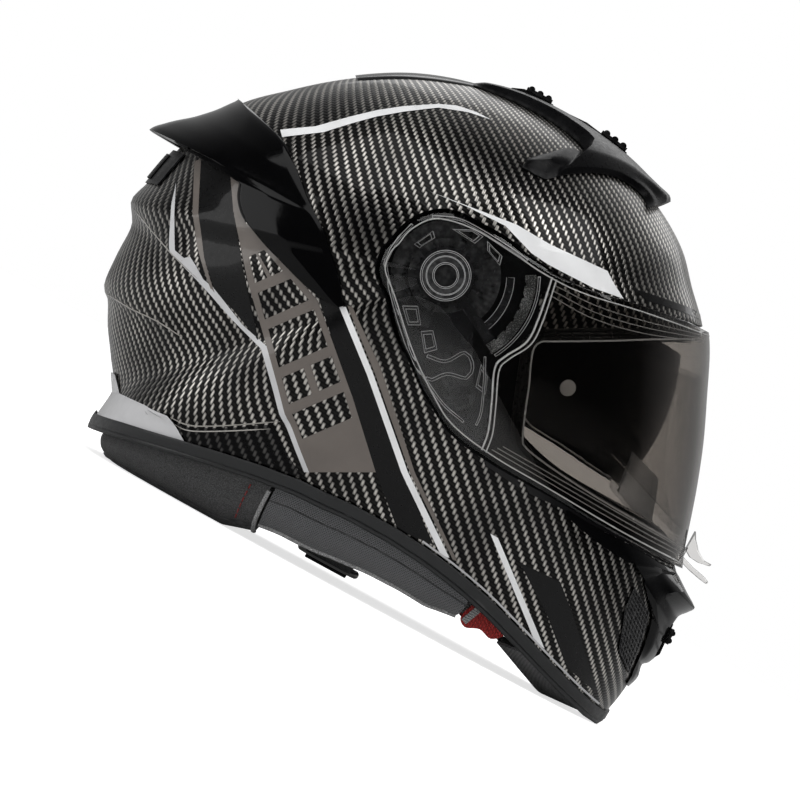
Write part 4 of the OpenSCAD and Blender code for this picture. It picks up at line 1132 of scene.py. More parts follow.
pos = 5.0
count = 0
while pos < lengths[-1] - 18:
    size = 13.0 if count % 3 else 19.0
    p0, p1 = run_at(pos), run_at(pos + size)
    (l0, r0), (l1, r1) = width_at(p0), width_at(p1)
    if min(l0 + r0, l1 + r1) > 9:
        m = 3.2
        a, b = p0 - across * max(0.5, l0 - m), p0 + across * max(0.5, r0 - m)
        c, d = p1 + across * max(0.5, r1 - m), p1 - across * max(0.5, l1 - m)
        if count % 3 == 1:
            e, g = a + (b - a) * 0.44, d + (c - d) * 0.44
            e2, g2 = a + (b - a) * 0.58, d + (c - d) * 0.58
            windows += [[tuple(a), tuple(e), tuple(g), tuple(d)], [tuple(e2), tuple(b), tuple(c), tuple(g2)]]
        else:
            windows.append([tuple(a), tuple(b), tuple(c), tuple(d)])
    pos += size + 5.0
    count += 1
windows = [w for w in windows if all(inside(q, TAUPE_PANEL) for q in w)]
decal("taupe_panel", TAUPE_PANEL, TAUPE, 0.2, windows)
decal("black_band", [(-58.8, 117.8), (-48.8, 119.6), (-21.1, 97), (15.3, 64), (45.7, 40.7), (27, 38.8),
      (4.5, 58.2), (-22.4, 84.5)], INK, 0.2)
decal("white_stripe", [(-48.8, 119.6), (-45.9, 121.1), (-19.4, 99.4), (18.1, 65.6), (55.3, 38.9), (51, 38.1),
      (15.3, 64), (-21.1, 97)], WHITE, 0.24)
decal("taupe_line", [(-45.6, 122), (-43.1, 122.6), (-16.9, 103), (21, 67.1), (59.5, 39.2), (57.2, 38.9),
      (18.9, 66), (-18.6, 99.8)], TAUPE, 0.22)
decal("foot_panel", [(-133.4, 38.8), (-130.3, 39.2), (-123.4, 32.4), (-96.3, 34.8), (-82.5, 26.5), (-100, 21),
      (-129, 15.6), (-128, 25.9), (-127.5, 30.9)], SILVER, 1.2, grid=1.5)
# Facet below a crease in the dimmed carbon: painted shade
decal("painted_shade_facet", [(-94, 33), (-85, 33.6), (-70, 41.5), (-50, 54.5), (-36, 45), (-25, 39), (-45, 32),
      (-66, 28), (-80, 26)], CARBON_PAINTED_SHADE, 0.16, uv=weave_uv, grid=1.5)


def ridge(name, paths, width, lift):
    """Thin sharp crests along the creases, in a paint paler than the carbon: a painted highlight where they
    catch the light
    """
    verts, faces = [], []
    for points in paths:
        path = smooth_path(points, 1.5)
        n = len(path)
        for side in (1, -1):
            faces += bands(n, 4, len(verts)) + caps(n, 4, len(verts))
            for i, q in enumerate(path):
                thin = min(1, i / 5, (n - 1 - i) / 5) * 0.8 + 0.2
                for off, up in ((-1, -0.4), (-0.4, lift), (0.4, lift), (1, -0.4)):
                    verts.append(skin_point(*(q + half_pen(path, i, width) * off * thin), up, side))
    make(name, verts, faces, CREST_HIGHLIGHT, slot="carbon_laminate", angle=60)


ridge("crease_highlight_crests", [[(-95, 34), (-85, 35), (-70, 43), (-47.5, 57.6)],
                        [(-92, 31.4), (-84, 32.4), (-69, 40.4), (-50, 52)],
                        [(-154, 71.6), (-139, 70.8), (-124, 71.6), (-109, 70.6)],
                        [(-162, 114.4), (-148, 109), (-132.5, 103.6), (-116, 99)]], 1.1, 0.3)
decal("chin_line", [(67, 58.5), (71.2, 58.5), (117, 22), (111.5, 22.5)], WHITE, 0.22)
decal("chin_wedge", [(86, 53), (108, 54), (120, 44), (135, 30), (152, 14), (131, 19), (110, 37),
                     (95, 47)], INK, 0.2)
decal("brow", [(70.2, 195.2), (102.1, 201.8), (108, 202), (112, 199.2), (105.6, 198.9),
               (80, 193.4)], INK, 0.2)
# A pale grey line just above the base trim's top edge: a painted highlight standing for the glint along that
# edge
rim_highlight_run = [(40, 39.8), (60, 37), (80, 32.7), (100, 26.7), (120, 20.2), (140, 14), (155, 10.1)]
decal("rim_line", stroke(smooth_path(rim_highlight_run, 3), 1.0), SILVER, 0.3, grid=1.5)

# Base trim: a rubber lip along the lower edge, with a groove
trim_angles = refine([a for a in back_angles if a >= RIM_REAR] + [RIM_FRONT + 360], FINE)
trim_section = round_section([(-5, -2.7), (-2.3, -2.6), (0.2, -2.45), (0.7, -1.9), (1.2, -2.3), (2.5, -2.1),
                              (4, -0.3), (4, SHELL_T + 0.3), (2.5, 6), (-3, 6), (-3, SHELL_T + 1.3),
                              (0.3, SHELL_T + 0.8), (0.3, -0.7), (-2.3, -1.3), (-5, -1.7)], 0.5, 2)
v, f = sweep(rim_stations(trim_angles), trim_section)
make("base_trim_rubber", v, f, RUBBER, rep=["base_trim"], slot="rubber", angle=40)

# Seal round the eye port, with three ribs
SEAL_LINE = [(116.5, 192.4, 0, 0.45), (108, 187.5, -0.15, 0.55), (100, 182.8, -0.2, 0.65),
             (92, 178, -0.3, 0.75), (72, 166, -0.45, 0.9), (56, 157, -0.6, 0.8), (47, 152, -0.9, 0.5),
             (43.5, 147, -1, 0), (46, 140, -1, -0.1), (50, 130, -1, -0.25), (54, 119, -0.95, -0.35),
             (58, 110.5, -0.9, -0.5), (63, 105, -0.6, -0.8), (75, 101.5, -0.25, -0.97),
             (98, 99.8, -0.08, -1), (120, 98.5, -0.05, -1), (133, 98.1, -0.05, -1), (142, 97.8, -0.04, -1),
             (148, 97.6, -0.03, -1), (151.8, 97.4, -0.02, -1), (153.8, 97.3, 0, -1), (161, 97.2, 0, -1)]
seal_stations = [tuple(p) for p in smooth_path(SEAL_LINE, 2.5)]
seal_section = round_section([(0.8, STEP - 1.2), (0.8, 1.6), (2.0, 1.3), (2.6, 2.2), (3.2, 1.4), (4.0, 1.4),
                              (4.6, 2.3), (5.2, 1.5), (6.5, 1.6), (6.5, STEP - 1.2)], 0.3, 2)
v, f = sweep(seal_stations, seal_section)
make("eye_port_gasket", v, f, SEAL, rep=["eye_port_seal"], slot="rubber", angle=40)

# Breath deflector
v, f = panel(refine([-22.7, -21, -19, -16.5, -14.5], 0.8),
             lambda a: [(line([(-22.7, 150), (-14.5, 142)])(a), 20, 21.2), (reach(a), 20, 21.2)], [14])
make("breath_deflector_lip", v, f, FROST, rep=["breath_deflector"], slot="matte_black")

# Visor: thickness of the pane, how far it stands over the shell's line, radius of its hub
VT, PROUD, HUB_R = 2.2, 2.7, 12.5
visor_angles = refine([-22, -20.5, -18, -14, -9, -4, 2, 8, 12, 15, 16.6, 17.1, 18.2, 20, 23, 27, 32, 42, 60, 85,
                       110, 135, 160, 185, 210, 232, 252, 271, 284, 293, 301, 309, 316, 323, 329, 333, 336,
                       337.6], 1.4)
proud = line([(60, PROUD), (150, 3)])


def visor_stops(a):
    w = min(reach(a), visor_edge(a))
    q = min(60, 0.6 * w)
    out = []
    for r in (HUB_R + 1.2, q, w - 2.2, w):
        out.append((r, -proud(r), VT - proud(r)))
    if w < reach(a) - 0.5:
        out[-1] = (w, -proud(w) + 0.75, VT - proud(w))
    else:
        out[-2] = (w - 2.2, -proud(w), VT - proud(w))
    return out


v, f = panel(visor_angles, visor_stops, [4, 22, 2], around=True)
pane = make("visor_pane", v, f, CLEAR, body="visor", rep=["visor"], slot="clear_pane", angle=40)
# Step between the ear and the optical area
MID_LINE = [(33.4, 180.3), (37, 161), (37.6, 148), (32, 136.8), (30.4, 129.6), (36.9, 114.5), (42, 101.8),
            (43.5, 92.6)]
second(pane, MID_LINE + [(44.5, 60), (-BIG, 60), (-BIG, 250), (35.6, 250)], EAR)


def pane_line(points, step, width, low, high):
    """A fine raised line on both sides of the pane"""
    path = smooth_path(points, step)
    n = len(path)
    verts, faces = [], []
    for side in (1, -1):
        faces += bands(n, 4, len(verts)) + caps(n, 4, len(verts))
        for i, q in enumerate(path):
            pen, out = half_pen(path, i, width), -proud(polar(q)[1])
            verts += mirrored([at(*(q + pen * off), out - lift)
                               for off, lift in ((-1, low), (-0.45, high), (0.45, high), (1, low))], side)
    return verts, faces


# Lines of the eye port behind the pane, of the pane's rim and inside its upper and lower edge, raised on the
# pane in a paler, less clear plastic: painted highlight lines
PORT_RING = [(113, 190.6), (92, 178.7), (72, 166.8), (50, 154.4), (44.2, 151), (42.6, 146.5), (45, 139),
             (49.2, 129.5), (53.2, 118.6), (58.6, 106), (62, 103), (75, 100.6), (98, 98.6), (120, 97.6),
             (140, 97), (154, 96.4)]
PANE_RIM = [(156.6, 90.8), (120, 90.4), (80, 91.7), (50, 92.6), (26.5, 96.2), (11.5, 104), (-8.4, 118.8),
            (-28.2, 137.6), (-37.6, 146.2), (-39, 155), (-37.6, 159.6), (-35.4, 168.8), (-27.2, 178.6),
            (-9.6, 182.4), (12, 181.4), (30, 179.9), (50, 180.9), (80, 187.2), (109, 192.6), (114.5, 194)]
top_lines = [[(36 + k * 0.5, 180.3 - 2.6 * k), (60, 182 - 3.1 * k), (85, 187.2 - 3.0 * k),
              (112 + k * 0.4, 193.4 - 1.4 * k)] for k in (1, 2, 3)]
foot_lines = [[(46 + 2 * k, 92.6 + 1.9 * k), (80, 91.6 + 2.0 * k), (120, 90.3 + 2.1 * k),
               (156, 90.6 + 1.7 * k)]
              for k in (1, 2, 3)]
v, f = join(pane_line(MID_LINE, 2, 1.0, -0.3, 0.3),
            pane_line([(x + 2.3, z) for x, z in MID_LINE], 2, 0.8, -0.3, 0.25),
            pane_line(PORT_RING, 2, 1.0, -2.5, -1.9), pane_line(PANE_RIM, 2, 0.7, -0.3, 0.2),
            *[pane_line(q, 3, 0.55, -2.5, -2.0) for q in top_lines + foot_lines])
make("visor_moulded_lines", v, f, EDGE, body="visor", slot="clear_pane", angle=30)

# Fog-free lens
lens_in = soft([(-18.5, 112), (-17, 93), (-14, 84.5), (-8, 79), (2, 78), (5.5, 86), (7.5, 104)])
LD = -3 + VT + 1.1
v, f = panel(refine([-18.5, -17, -13, -8, -3, 2, 5.5, 7.5], 1.2),
             lambda a: [(lens_in(a), LD + 0.7, LD + 1.9), (reach(a), LD, LD + 1.2)], [18])
make("fog_free_lens", v, f, LENS, body="visor", rep=["antifog_lens"], slot="clear_pane", angle=40)

# Lifting tab: two clear prongs joined by a web
upper_prong = [(157.6, 107), (159.6, 103.5), (163.5, 99), (168, 96.2), (172.3, 96.2), (171.8, 94.9),
               (166, 93.8), (161.5, 94.2), (157.6, 96.5)]
lower_prong = [(157.2, 93.2), (165, 90.6), (172, 89.2), (175, 87.8), (174.6, 86.4), (171, 86.9), (165, 88.2),
               (157.4, 90.6)]
prong_web = [(157.4, 92), (158.2, 92), (158.2, 98), (157.4, 98)]
v, f = join(prism(upper_prong, -8.6, 8.6), prism(lower_prong, -9, 9), prism(prong_web, -8.8, 8.8))
make("visor_lift_tab", v, f, TAB, body="visor", rep=["visor_tab"], slot="clear_pane", bevel=0.35)

# Rear spoiler
spoiler_top = turn_line([(-140, 186), (-131, 183.6), (-122, 181), (-114, 178.7), (-108, 176), (-90, 161),
                         (-70, 146), (-52, 128), (-46, 121)], 0)
spoiler_foot = turn_line([(-151.8, 152.3), (-143, 151.4), (-133, 150.7), (-123, 150.3), (-117, 149.5),
                          (-116, 145), (-110, 137), (-100, 132), (-80, 125), (-62, 120), (-49, 119)], 0)
spoiler_up = soft([(167.3, 2.3), (171, 3), (175, 6.5), (179, 14), (181.6, 18.2), (181.95, 6), (184, 5),
                   (188, 4), (225, 2.4)])


def spoiler_stops(a):
    w, r0 = reach(a), spoiler_top(a)
    r1 = w if a < 181.7 else max(r0 + 1.5, spoiler_foot(a))
    up = spoiler_up(a)
    rm = r0 + 0.6 * (r1 - r0)
    under = -max(1.2, up - 3.2 if 174 < a < 181.7 else 0)
    return [(r0, -1.4, -0.5), (r0 + 0.05 * (r1 - r0), -2.2, -0.9), (rm, -2.6 - min(2.5, up * 0.4), -1.2),
            (r0 + 0.96 * (r1 - r0), -up - 0.3, under), (r1, -up + 0.5, under)]


spoiler_angles = refine([167.3, 167.5, 167.8, 168.2, 169, 171, 174, 177, 179.6, 181.6, 181.95, 182.4, 182.95,
                         183.4, 184.1, 186.5, 192, 199, 206, 213, 219.5, 225], 0.9)
v, f = panel(spoiler_angles, spoiler_stops, [1, 10, 12, 2])
make("rear_spoiler_blade", v, f, GLOSS, rep=["rear_spoiler"], slot="gloss_black", angle=38)

# Exhaust openings under the blade
v, f = panel(refine([183, 185, 188, 190.5], 0.6),
             lambda a: [(reach(a) * 0.955, -1.2, -LAY), (reach(a), -1.8, -LAY)], [10])
make("rear_exhaust_grille", v, f, VENT, rep=["rear_exhaust"], slot="matte_black")
parts = []
for k in range(-4, 5):
    s = band_s(abs(k) * 5.5) if k else 1
    path = [on(a, s, -2.0) for a in refine([184.2, 189.6], 0.7)]
    parts.append(tube([(p[0], math.copysign(p[1], k) if k else 0, p[2]) for p in path], 0.9, 6))
v, f = join(*parts)
make("rear_exhaust_bars", v, f, GLOSS, slot="matte_black")

# Top vent housing
tv_r0 = soft([(47.5, 104), (49.5, 105.5), (58.4, 97.2), (62.7, 89.5), (68.1, 77.6), (73.3, 66.5), (83.5, 64)])
tv_ra = soft([(71.4, 90), (75, 86), (78.5, 78), (83.5, 69)])
tv_up = soft([(47.5, 7), (48.9, 8.4), (52, 7.4), (56, 6.8), (66, 6.6), (90, 5.8), (106, 3.5), (110, 1.2)])
TV_BASE = [47.5, 49, 52, 55, 58.5, 63, 68, 71.5, 75, 79, 83.5, 88, 94, 100, 106, 110]
tv_angles = refine(TV_BASE, 1.0)
tv_i7, tv_i10 = tv_angles.index(71.5), tv_angles.index(83.5)


def tv_rb(a):
    w = reach(a)
    return line([(71.4, 92), (75, w * 0.95), (83.5, w * 0.965), (110, w * 0.985)])(a)


def tv_stops(a):
    w, r0, up, fork = reach(a), tv_r0(a), tv_up(a), a > 71.4
    r1 = min(tv_ra(a), w * 0.9) if fork else r0 + 0.3 * (w - r0)
    r2 = tv_rb(a) if fork else r0 + 0.55 * (w - r0)
    m = min(r0, r1 - 2)
    return [(m, -0.8, -LAY), ((m + r1) / 2, -3.5, -LAY), (r1, -1.0 if fork else -4.5, -LAY),
            (r2, -1.0 if fork else -up, -LAY), (r2 + 0.3 * (w - r2), -up, -LAY), (w, -up, -LAY)]


tv_steps = [4, 4, 4, 3, 6]
v, f = panel(tv_angles, tv_stops, tv_steps,
             gone=lambda i, j, m: (i >= tv_i7 and 8 <= j < 12) or (i >= tv_i10 and j < 8))
make("top_vent_housing", v, f, VENT, rep=["top_vent"], slot="matte_black", angle=30)

# Flat beds that the ribbed sliders run on
beds = [prism([(-27, 252), (-27, 256.2), (-21, 258.7), (-5, 258.7), (-3, 257), (-3, 252)], -7.2, 7.2),
        prism([(4, 252), (4, 258.3), (14, 258.79), (38.5, 255.14), (38.5, 250)], -8, 8)]
make("top_vent_slide_beds", *join(*beds), VENT, slot="matte_black", bevel=0.3)

# Chin vent with its wings
cv_r0 = line([(-37.2, 216), (-35.8, 210), (-34.3, 127), (-33.8, 127), (-27.8, 152.5), (-26.4, 160.5),
              (-25.2, 167.5), (-24.5, 172.5), (-23.9, 176.5), (-23.2, 181)])
cv_r1 = line([(-34.9, 127), (-31.4, 148), (-28.3, 165)])
cv_r2 = line([(-37.2, 219), (-35.8, 213), (-33.2, 205), (-30, 194), (-28.3, 176), (-25.2, 178), (-24.4, 180),
              (-23.2, 183)])
cv_up = soft([(-37.2, 1.2), (-35.5, 3.2), (-34.4, 1.6), (-33.4, 4.6), (-31.6, 7), (-29.4, 6.8), (-26.9, 8.5),
              (-25.2, 13.5), (-24.1, 16.4), (-23.7, 9.5), (-23.2, 2)])
CV_BASE = [-37.2, -35.6, -34.6, -33.4, -31.6, -29.4, -28, -26.4, -25.2, -24.1, -23.7, -23.2]
cv_angles = refine(CV_BASE, 0.35)
cv_i2, cv_i6 = cv_angles.index(-34.6), cv_angles.index(-28)


def cv_stops(a):
    w, r0, up = reach(a), cv_r0(a), cv_up(a)
    r2 = min(w - 2.5, cv_r2(a))
    ra = max(cv_r1(a), r0 + 3) if a < -28.4 else r0 + 0.5 * (r2 - r0)
    return [(min(r0, r2 - 3), -0.8, -LAY), (ra, -2.5, -LAY), (r2, -1.2, -LAY),
            (r2 + 0.35 * (w - r2), -0.6 * up - 0.4, -LAY), (w, -up, -LAY)]


v, f = panel(cv_angles, cv_stops, [6, 6, 4, 12],
             gone=lambda i, j, m: (i < cv_i6 and 6 <= j < 12) or (i < cv_i2 and j < 6))
make("chin_vent_nose", v, f, GLOSS, rep=["chin_vent"], slot="matte_black", angle=30)

chin_bed = prism([(164, 62.5), (168.5, 62.5), (169.9, 61), (171.05, 45), (167, 38.5), (163, 38.5)], -7.2, 7.2)
make("chin_vent_slide_bed", *chin_bed, GLOSS, slot="matte_black", bevel=0.3)

# Grilles beside the chin vent: crossed wires in a frame
mesh_in = line([(-36.5, 200), (-33, 183), (-30, 176)])
mesh_out = line([(-37.2, 218), (-35.8, 212), (-33.2, 204), (-30, 192)])


def wire_point(a, part, depth):
    r = mesh_in(a) + (mesh_out(a) - 1.5 - mesh_in(a)) * part
    return on(a, r / reach(a), depth)


wire_lines = [[wire_point(-36.3 + 6.2 * k / 13, t / 6, -0.95) for t in range(7)] for k in range(14)]
wire_lines += [[wire_point(a, (k + 0.5) / 7, -1.0) for a in refine([-36.4, -30.1], 0.4)] for k in range(7)]
for side, name in SIDES:
    v, f = panel(refine([-36.5, -35, -33.4, -31.6, -30], 0.3),
                 lambda a: [(mesh_in(a), -0.75, -LAY), (mesh_out(a) - 1.5, -0.75, -LAY)], [14], sides=(side,))
    make("chin_grille_" + name, v, f, BLACK, rep=["chin_mesh_" + name], slot="matte_black")
    v, f = join(*[tube(mirrored(pts, side), 0.3, 5) for pts in wire_lines])
    make("chin_grille_wires_" + name, v, f, GEAR, slot="matte_black")

# Mechanism behind the clear ear
FLOOR_Y = HW - POCKET
EAR_IN = HW + PROUD - VT
# Hollow cells with their height, then lines with their width and height
cells = [
    ([(-19, 178), (-10, 182.5), (-4, 182), (-6, 177)], 126.5),
    ([(-1.5, 181), (8.5, 178), (9.5, 173.5), (0.8, 177)], 126.5),
    ([(-31.5, 163), (-26.5, 173), (-24, 170.5), (-28.3, 162.5)], 126.0),
    ([(-22.5, 134.5), (-15.7, 138), (-10, 130.5), (-15.5, 127.5)], 126.0),
    ([(-8.8, 128), (-3.8, 131.2), (2.4, 124), (-2.2, 119.5)], 126.0),
    ([(2.5, 131), (8, 134), (14, 130), (8, 123)], 123.0),
    ([(24, 128), (30, 124), (33, 116), (27, 117)], 122.5)]
ribs = [([(-36.5, 171), (-39, 161), (-39.3, 152), (-36, 144.5), (-9.7, 118.2), (14, 103.8),
          (30, 99.5)], 1.3, 125.5),
        ([(-0.6, 119), (8.6, 121), (14.5, 129), (20, 126.5), (22, 122), (21, 118.5), (12, 116), (7, 110),
          (4, 109.5)], 1.6, 125.5),
        ([(-30, 178.5), (-20, 183), (-10, 184), (12, 183), (20, 182)], 1.3, 125.0),
        ([(24, 132), (29, 122), (35, 108), (36, 101)], 1.2, 123.0)]
parts = []
for side in (1, -1):
    for poly, top in cells:
        cx, cz = sum(p[0] for p in poly) / len(poly), sum(p[1] for p in poly) / len(poly)
        hole = [(cx + (x - cx) * 0.62, cz + (z - cz) * 0.62) for x, z in poly]
        parts.append(prism(poly, FLOOR_Y + 0.2, top, side, [hole]))
    for path, w, top in ribs:
        parts.append(prism(stroke(smooth_path(path, 2.5), w), FLOOR_Y + 0.3, top, side))
    # the flat arc beside the hub and the ridge round the toothed sector
    for r1, r0, a0, a1, top in ((33, 29, -29, 27, 122.9), (45.6, 44.2, -30, 28, 124.5)):
        fan = arc(PX, PZ, r1, a0, a1, 24) + arc(PX, PZ, r0, a1, a0, 24)
        parts.append(prism(fan, FLOOR_Y + 0.2, top, side))
v, f = join(*parts)
# the ribs' rounded edges get the paler material, a painted highlight
make("mechanism_ribs", v, f, GEAR, slot="matte_black", bevel=0.3, edge_glint=EDGE_HIGHLIGHT)

# Rings turned on the hub, which go round with the visor
parts = []
y = EAR_IN + VT
for side in (1, -1):
    for r1, r0 in ((12.3, 11.2), (9.6, 8.9), (6.4, 5.4)):
        ring = [(r1, y - 0.4), (r1, y + 0.2), (r0, y + 0.2), (r0, y - 0.4)]
        parts.append(lathe(ring, PX, PZ, side))
v, f = join(*parts)
# the rings' rounded edges get the paler material, a painted highlight
make("visor_hub_rings", v, f, GEAR, body="visor", slot="matte_black", bevel=0.25, edge_glint=EDGE_HIGHLIGHT)

# Sun visor: a slice of an ellipsoid about its own axis, on two arms
SX, SZ = 19.0, 139.0
SUN_W = HW - 15.5
SUN_R = PX + reach(0) - 14.2 - SX
SUN_T = 2.0
ARM_Y1 = SUN_W - 4.3
ARM_Y0 = ARM_Y1 - SUN_T
# Notch for the nose (height, radius), how far the pane reaches up and down, radius of the pivot's hole
NOSE_Z, NOSE_R, SUN_SPREAD, SUN_HOLE = 96, 22, 35, 4.06
SUN_SIDE = [(130, 106.6), (80, 112), (60, 113), (44, 119), (36, 128), (33.5, 139), (35, 150), (46, 163),
            (62, 176), (84, 180), (130, 180)]


def sun_at(y, t):
    return (SUN_R - t) * math.sqrt(max(0, 1 - (y / (SUN_W - t * SUN_W / SUN_R)) ** 2))


def sun_range(y):
    """First and last direction in which the slice at y has its pane"""
    hits = []
    k = -60.0
    while k < 75:
        r = sun_at(y, 0)
        p = (SX + r * math.cos(math.radians(k)), SZ + r * math.sin(math.radians(k)))
        if inside(p, SUN_SIDE) and (p[1] - NOSE_Z) ** 2 + y * y > NOSE_R ** 2 and abs(k) <= SUN_SPREAD:
            hits.append(k)
        k += 0.2
    return hits[0], hits[-1]


n_col = 96
outer, inner = [], []
for i in range(n_col + 1):
    y = ARM_Y0 * math.sin(math.pi / 2 * (2 * i / n_col - 1))
    k0, k1 = sun_range(y)
    ca, cb = [], []
    for j in range(31):
        k = math.radians(k0 + (k1 - k0) * j / 30)
        for t, row in ((0.2, ca), (SUN_T, cb)):
            r = sun_at(y, t)
            row.append((SX + r * math.cos(k), y, SZ + r * math.sin(k)))
    outer.append(ca)
    inner.append(cb)
v, f = skin(outer, inner, sides=(1,))
for side in (1, -1):
    far = SX + sun_at(ARM_Y0, SUN_T) + 0.7
    arm = [(SX, SZ + 9)] + arc(SX, SZ, 9, 90, 270, 20) + [(SX, SZ - 9), (far, SZ - 10.5), (far, SZ + 10.5)]
    v, f = join((v, f), prism(arm, ARM_Y0, ARM_Y1, side, [circle(SX, SZ, SUN_HOLE, 32)]))
# A pale bead along the sun visor's lower edge: a painted highlight on that edge
bead = tube([c[0] for c in outer], 0.5, 8)
make("sun_visor_edge_highlight_bead", *bead, PIN, body="sun_visor", slot="smoke_pane", angle=60)
make("sun_visor_pane", v, f, SMOKE, body="sun_visor", rep=["sun_visor"], slot="smoke_pane", angle=35)


# Padding
def crown(u, v, p=4):
    """Height of a cushion over its width and length, from 0 to 1"""
    return max(0, 1 - abs(2 * u - 1) ** p) ** 0.5 * max(0, 1 - abs(2 * v - 1) ** p) ** 0.5


def pad(a0, a1, n, m, start, stop, d0, thin, h, sides=(1, -1), seams=()):
    both = len(sides) == 2
    outer, inner = [], []
    for i in range(n + 1):
        a = a0 + (a1 - a0) * i / n
        w = reach(a)
        t0, t1 = tilt(start(a) / w), tilt(stop(a) / w)
        co, ci = [], []
        for j in range(m + 1):
            vv = j / m / 2 if both else j / m
            s = untilt(t0 + (t1 - t0) * j / m)
            deep = thin + h * crown(i / n, vv)
            for u0, v0, du, dv, width in seams:
                k = abs((i / n - u0) * du + (vv - v0) * dv)
                deep -= min(3.2, h * 0.35) * math.exp(-(k / width) ** 2) * crown(i / n, vv)
            co.append(on(a, s, d0))
            ci.append(on(a, s, d0 + deep))
        outer.append(co)
        inner.append(ci)
    return skin(outer, inner, False, sides)


def liner_edge(a):
    b = a - 360 if a > 180 else a
    if b > 17:
        return reach(a)
    if b > -60:
        return min(reach(a), line([(-60, 128), (-50, 101), (-42, 86), (-36, 78), (-30, 70), (-24, 62),
                                   (-16, 55.5), (-8.4, 50.5), (-3.5, 57), (2, 70), (6.5, 80), (11.5, 101),
                                   (15, 120), (17, 133)])(b))
    return min(reach(a), max(40, rim(a) - 13))


DEPTH = 41.0
v, f = pad(24, 196, 70, 34, line([(24, 62), (50, 46), (110, 42), (196, 62)]), reach, DEPTH + 3, 3, 8,
           seams=[(0.5, 0, 1, 0, 0.012), (0.25, 0, 1, 0, 0.012), (0.75, 0, 1, 0, 0.012),
                  (0, 0.33, 0, 1, 0.014)])
ob = make("crown_cushion", v, f, PLUSH, rep=["crown_pad"], slot="lining", angle=50)


def cheek_stop(a):
    return liner_edge(a) - 4 if a > -44 else min(liner_edge(a) + 34, rim(a) + 22)


for side, name in SIDES:
    v, f = pad(-122, -40, 44, 36, lambda a: 36, cheek_stop, DEPTH + 1.2, 8, 17, (side,),
               seams=[(0.55, 0, 1, 0, 0.014), (0, 0.55, 0, 1, 0.016)])
    ob = make("cheek_cushion_" + name, v, f, PLUSH, rep=["cheek_pad_" + name], slot="lining", angle=50)


def level_uv(co):
    """Length round the opening and height, in metres, for cloth that goes round the neck"""
    round_neck = co[:, 0] + 0.35 * np.abs(co[:, 1])
    height = co[:, 2] * 1.3 + np.hypot(co[:, 0], co[:, 1]) * 0.6
    return np.stack([round_neck, height], 1) * 0.001


def cushion_section(points, wide, deep):
    """Smooth closed section, held between limits of its offset and depth"""
    return [(min(wide[1], max(wide[0], p[0])), min(deep[1], max(deep[0], p[1])))
            for p in smooth_path(points, 2.0, closed=True)]


def ring_at(stations, off, depth, sides=(1, -1)):
    """A line along a swept piece, at one point of its section"""
    v, f = sweep(stations, [(off, depth), (off + 0.01, depth), (off, depth + 0.01)], (1,), level=True)
    pts = [v[i * 3] for i in range(len(stations))]
    if len(sides) == 1:
        return mirrored(pts, sides[0])
    return mirrored(pts[::-1], -1) + pts[1:]


roll_angles = refine([RIM_REAR, RIM_REAR + 1, RIM_REAR + 3, RIM_REAR + 7, RIM_REAR + 12, 248, 254, 258], 1.0)
roll_st = rim_stations(roll_angles, lambda x, z: z / 20 if x < -55 else z / line([(-55, 20), (-35, 24)])(x))
roll_section = cushion_section([(-9, 9), (6, 7.2), (12, 8), (17, 11), (20, 17), (20, 23), (17, 29),
                                (11, 32.6), (0, 33.6), (-8.6, 32.6)], (-9, 20), (7, 34))
v, f = sweep(roll_st, roll_section, level=True)
ob = make("neck_roll_cushion", v, f, LEATHER, rep=["neck_roll"], slot="lining", angle=60)
seam_line = ring_at(roll_st, 18.2, 12.6)
v, f = tube(seam_line, 0.7, 6)
make("neck_roll_piping", v, f, RUBBER, slot="lining")
# the roll's end: piping round it, with red thread beside
m = len(roll_section)
v, f = sweep(roll_st, roll_section, (1,), level=True)
end_row = [p for p, s in zip(v[-m:], roll_section) if s[0] > 3 and s[1] < 22]
back_row = [p for p, s in zip(v[-5 * m:-4 * m], roll_section) if s[0] > 3 and s[1] < 12.5]
for side, name in SIDES:
    v, f = tube(mirrored(smooth_path(end_row, 1.0), side), 1.1, 8)
    make("neck_end_piping_" + name, v, f, PIPING, slot="lining")
    thread = [(p[0], side * (p[1] + 0.15), p[2]) for p in smooth_path(back_row, 0.5)]
    v, f = stitches(thread, 2.2, 1.3, 0.4)
    make("neck_end_stitching_" + name, v, f, THREAD, uv=level_uv, slot="red_ribbon")

side_st = rim_stations(refine([259, 263, 269, 275, 281, 287, 293, 299, 304], 1.2),
                       lambda x, z: line([(-45, 1.22), (0, 1.25), (60, 0.95), (85, 0.5)])(x))
side_section = cushion_section([(5.2, 6.8), (10, 7), (16, 9), (20, 14), (20, 18), (15, 23), (8, 25), (0, 25),
                                (-1, 8.5), (2, 6.8)], (-1, 20), (6.8, 25))
for side, name in SIDES:
    v, f = sweep(side_st, side_section, (side,), level=True)
    ob = make("neck_cloth_" + name, v, f, KNIT, uv=level_uv, rep=["neck_panel_" + name], slot="lining",
              angle=60)
    v, f = tube(ring_at(side_st, 19.3, 12.2, (side,)), 1.0, 8)
    make("neck_piping_" + name, v, f, PIPING, slot="lining")
    v, f = tube(ring_at(side_st, 8.5, 7.2, (side,)), 0.6, 6)
    make("neck_seam_" + name, v, f, RUBBER, slot="lining")

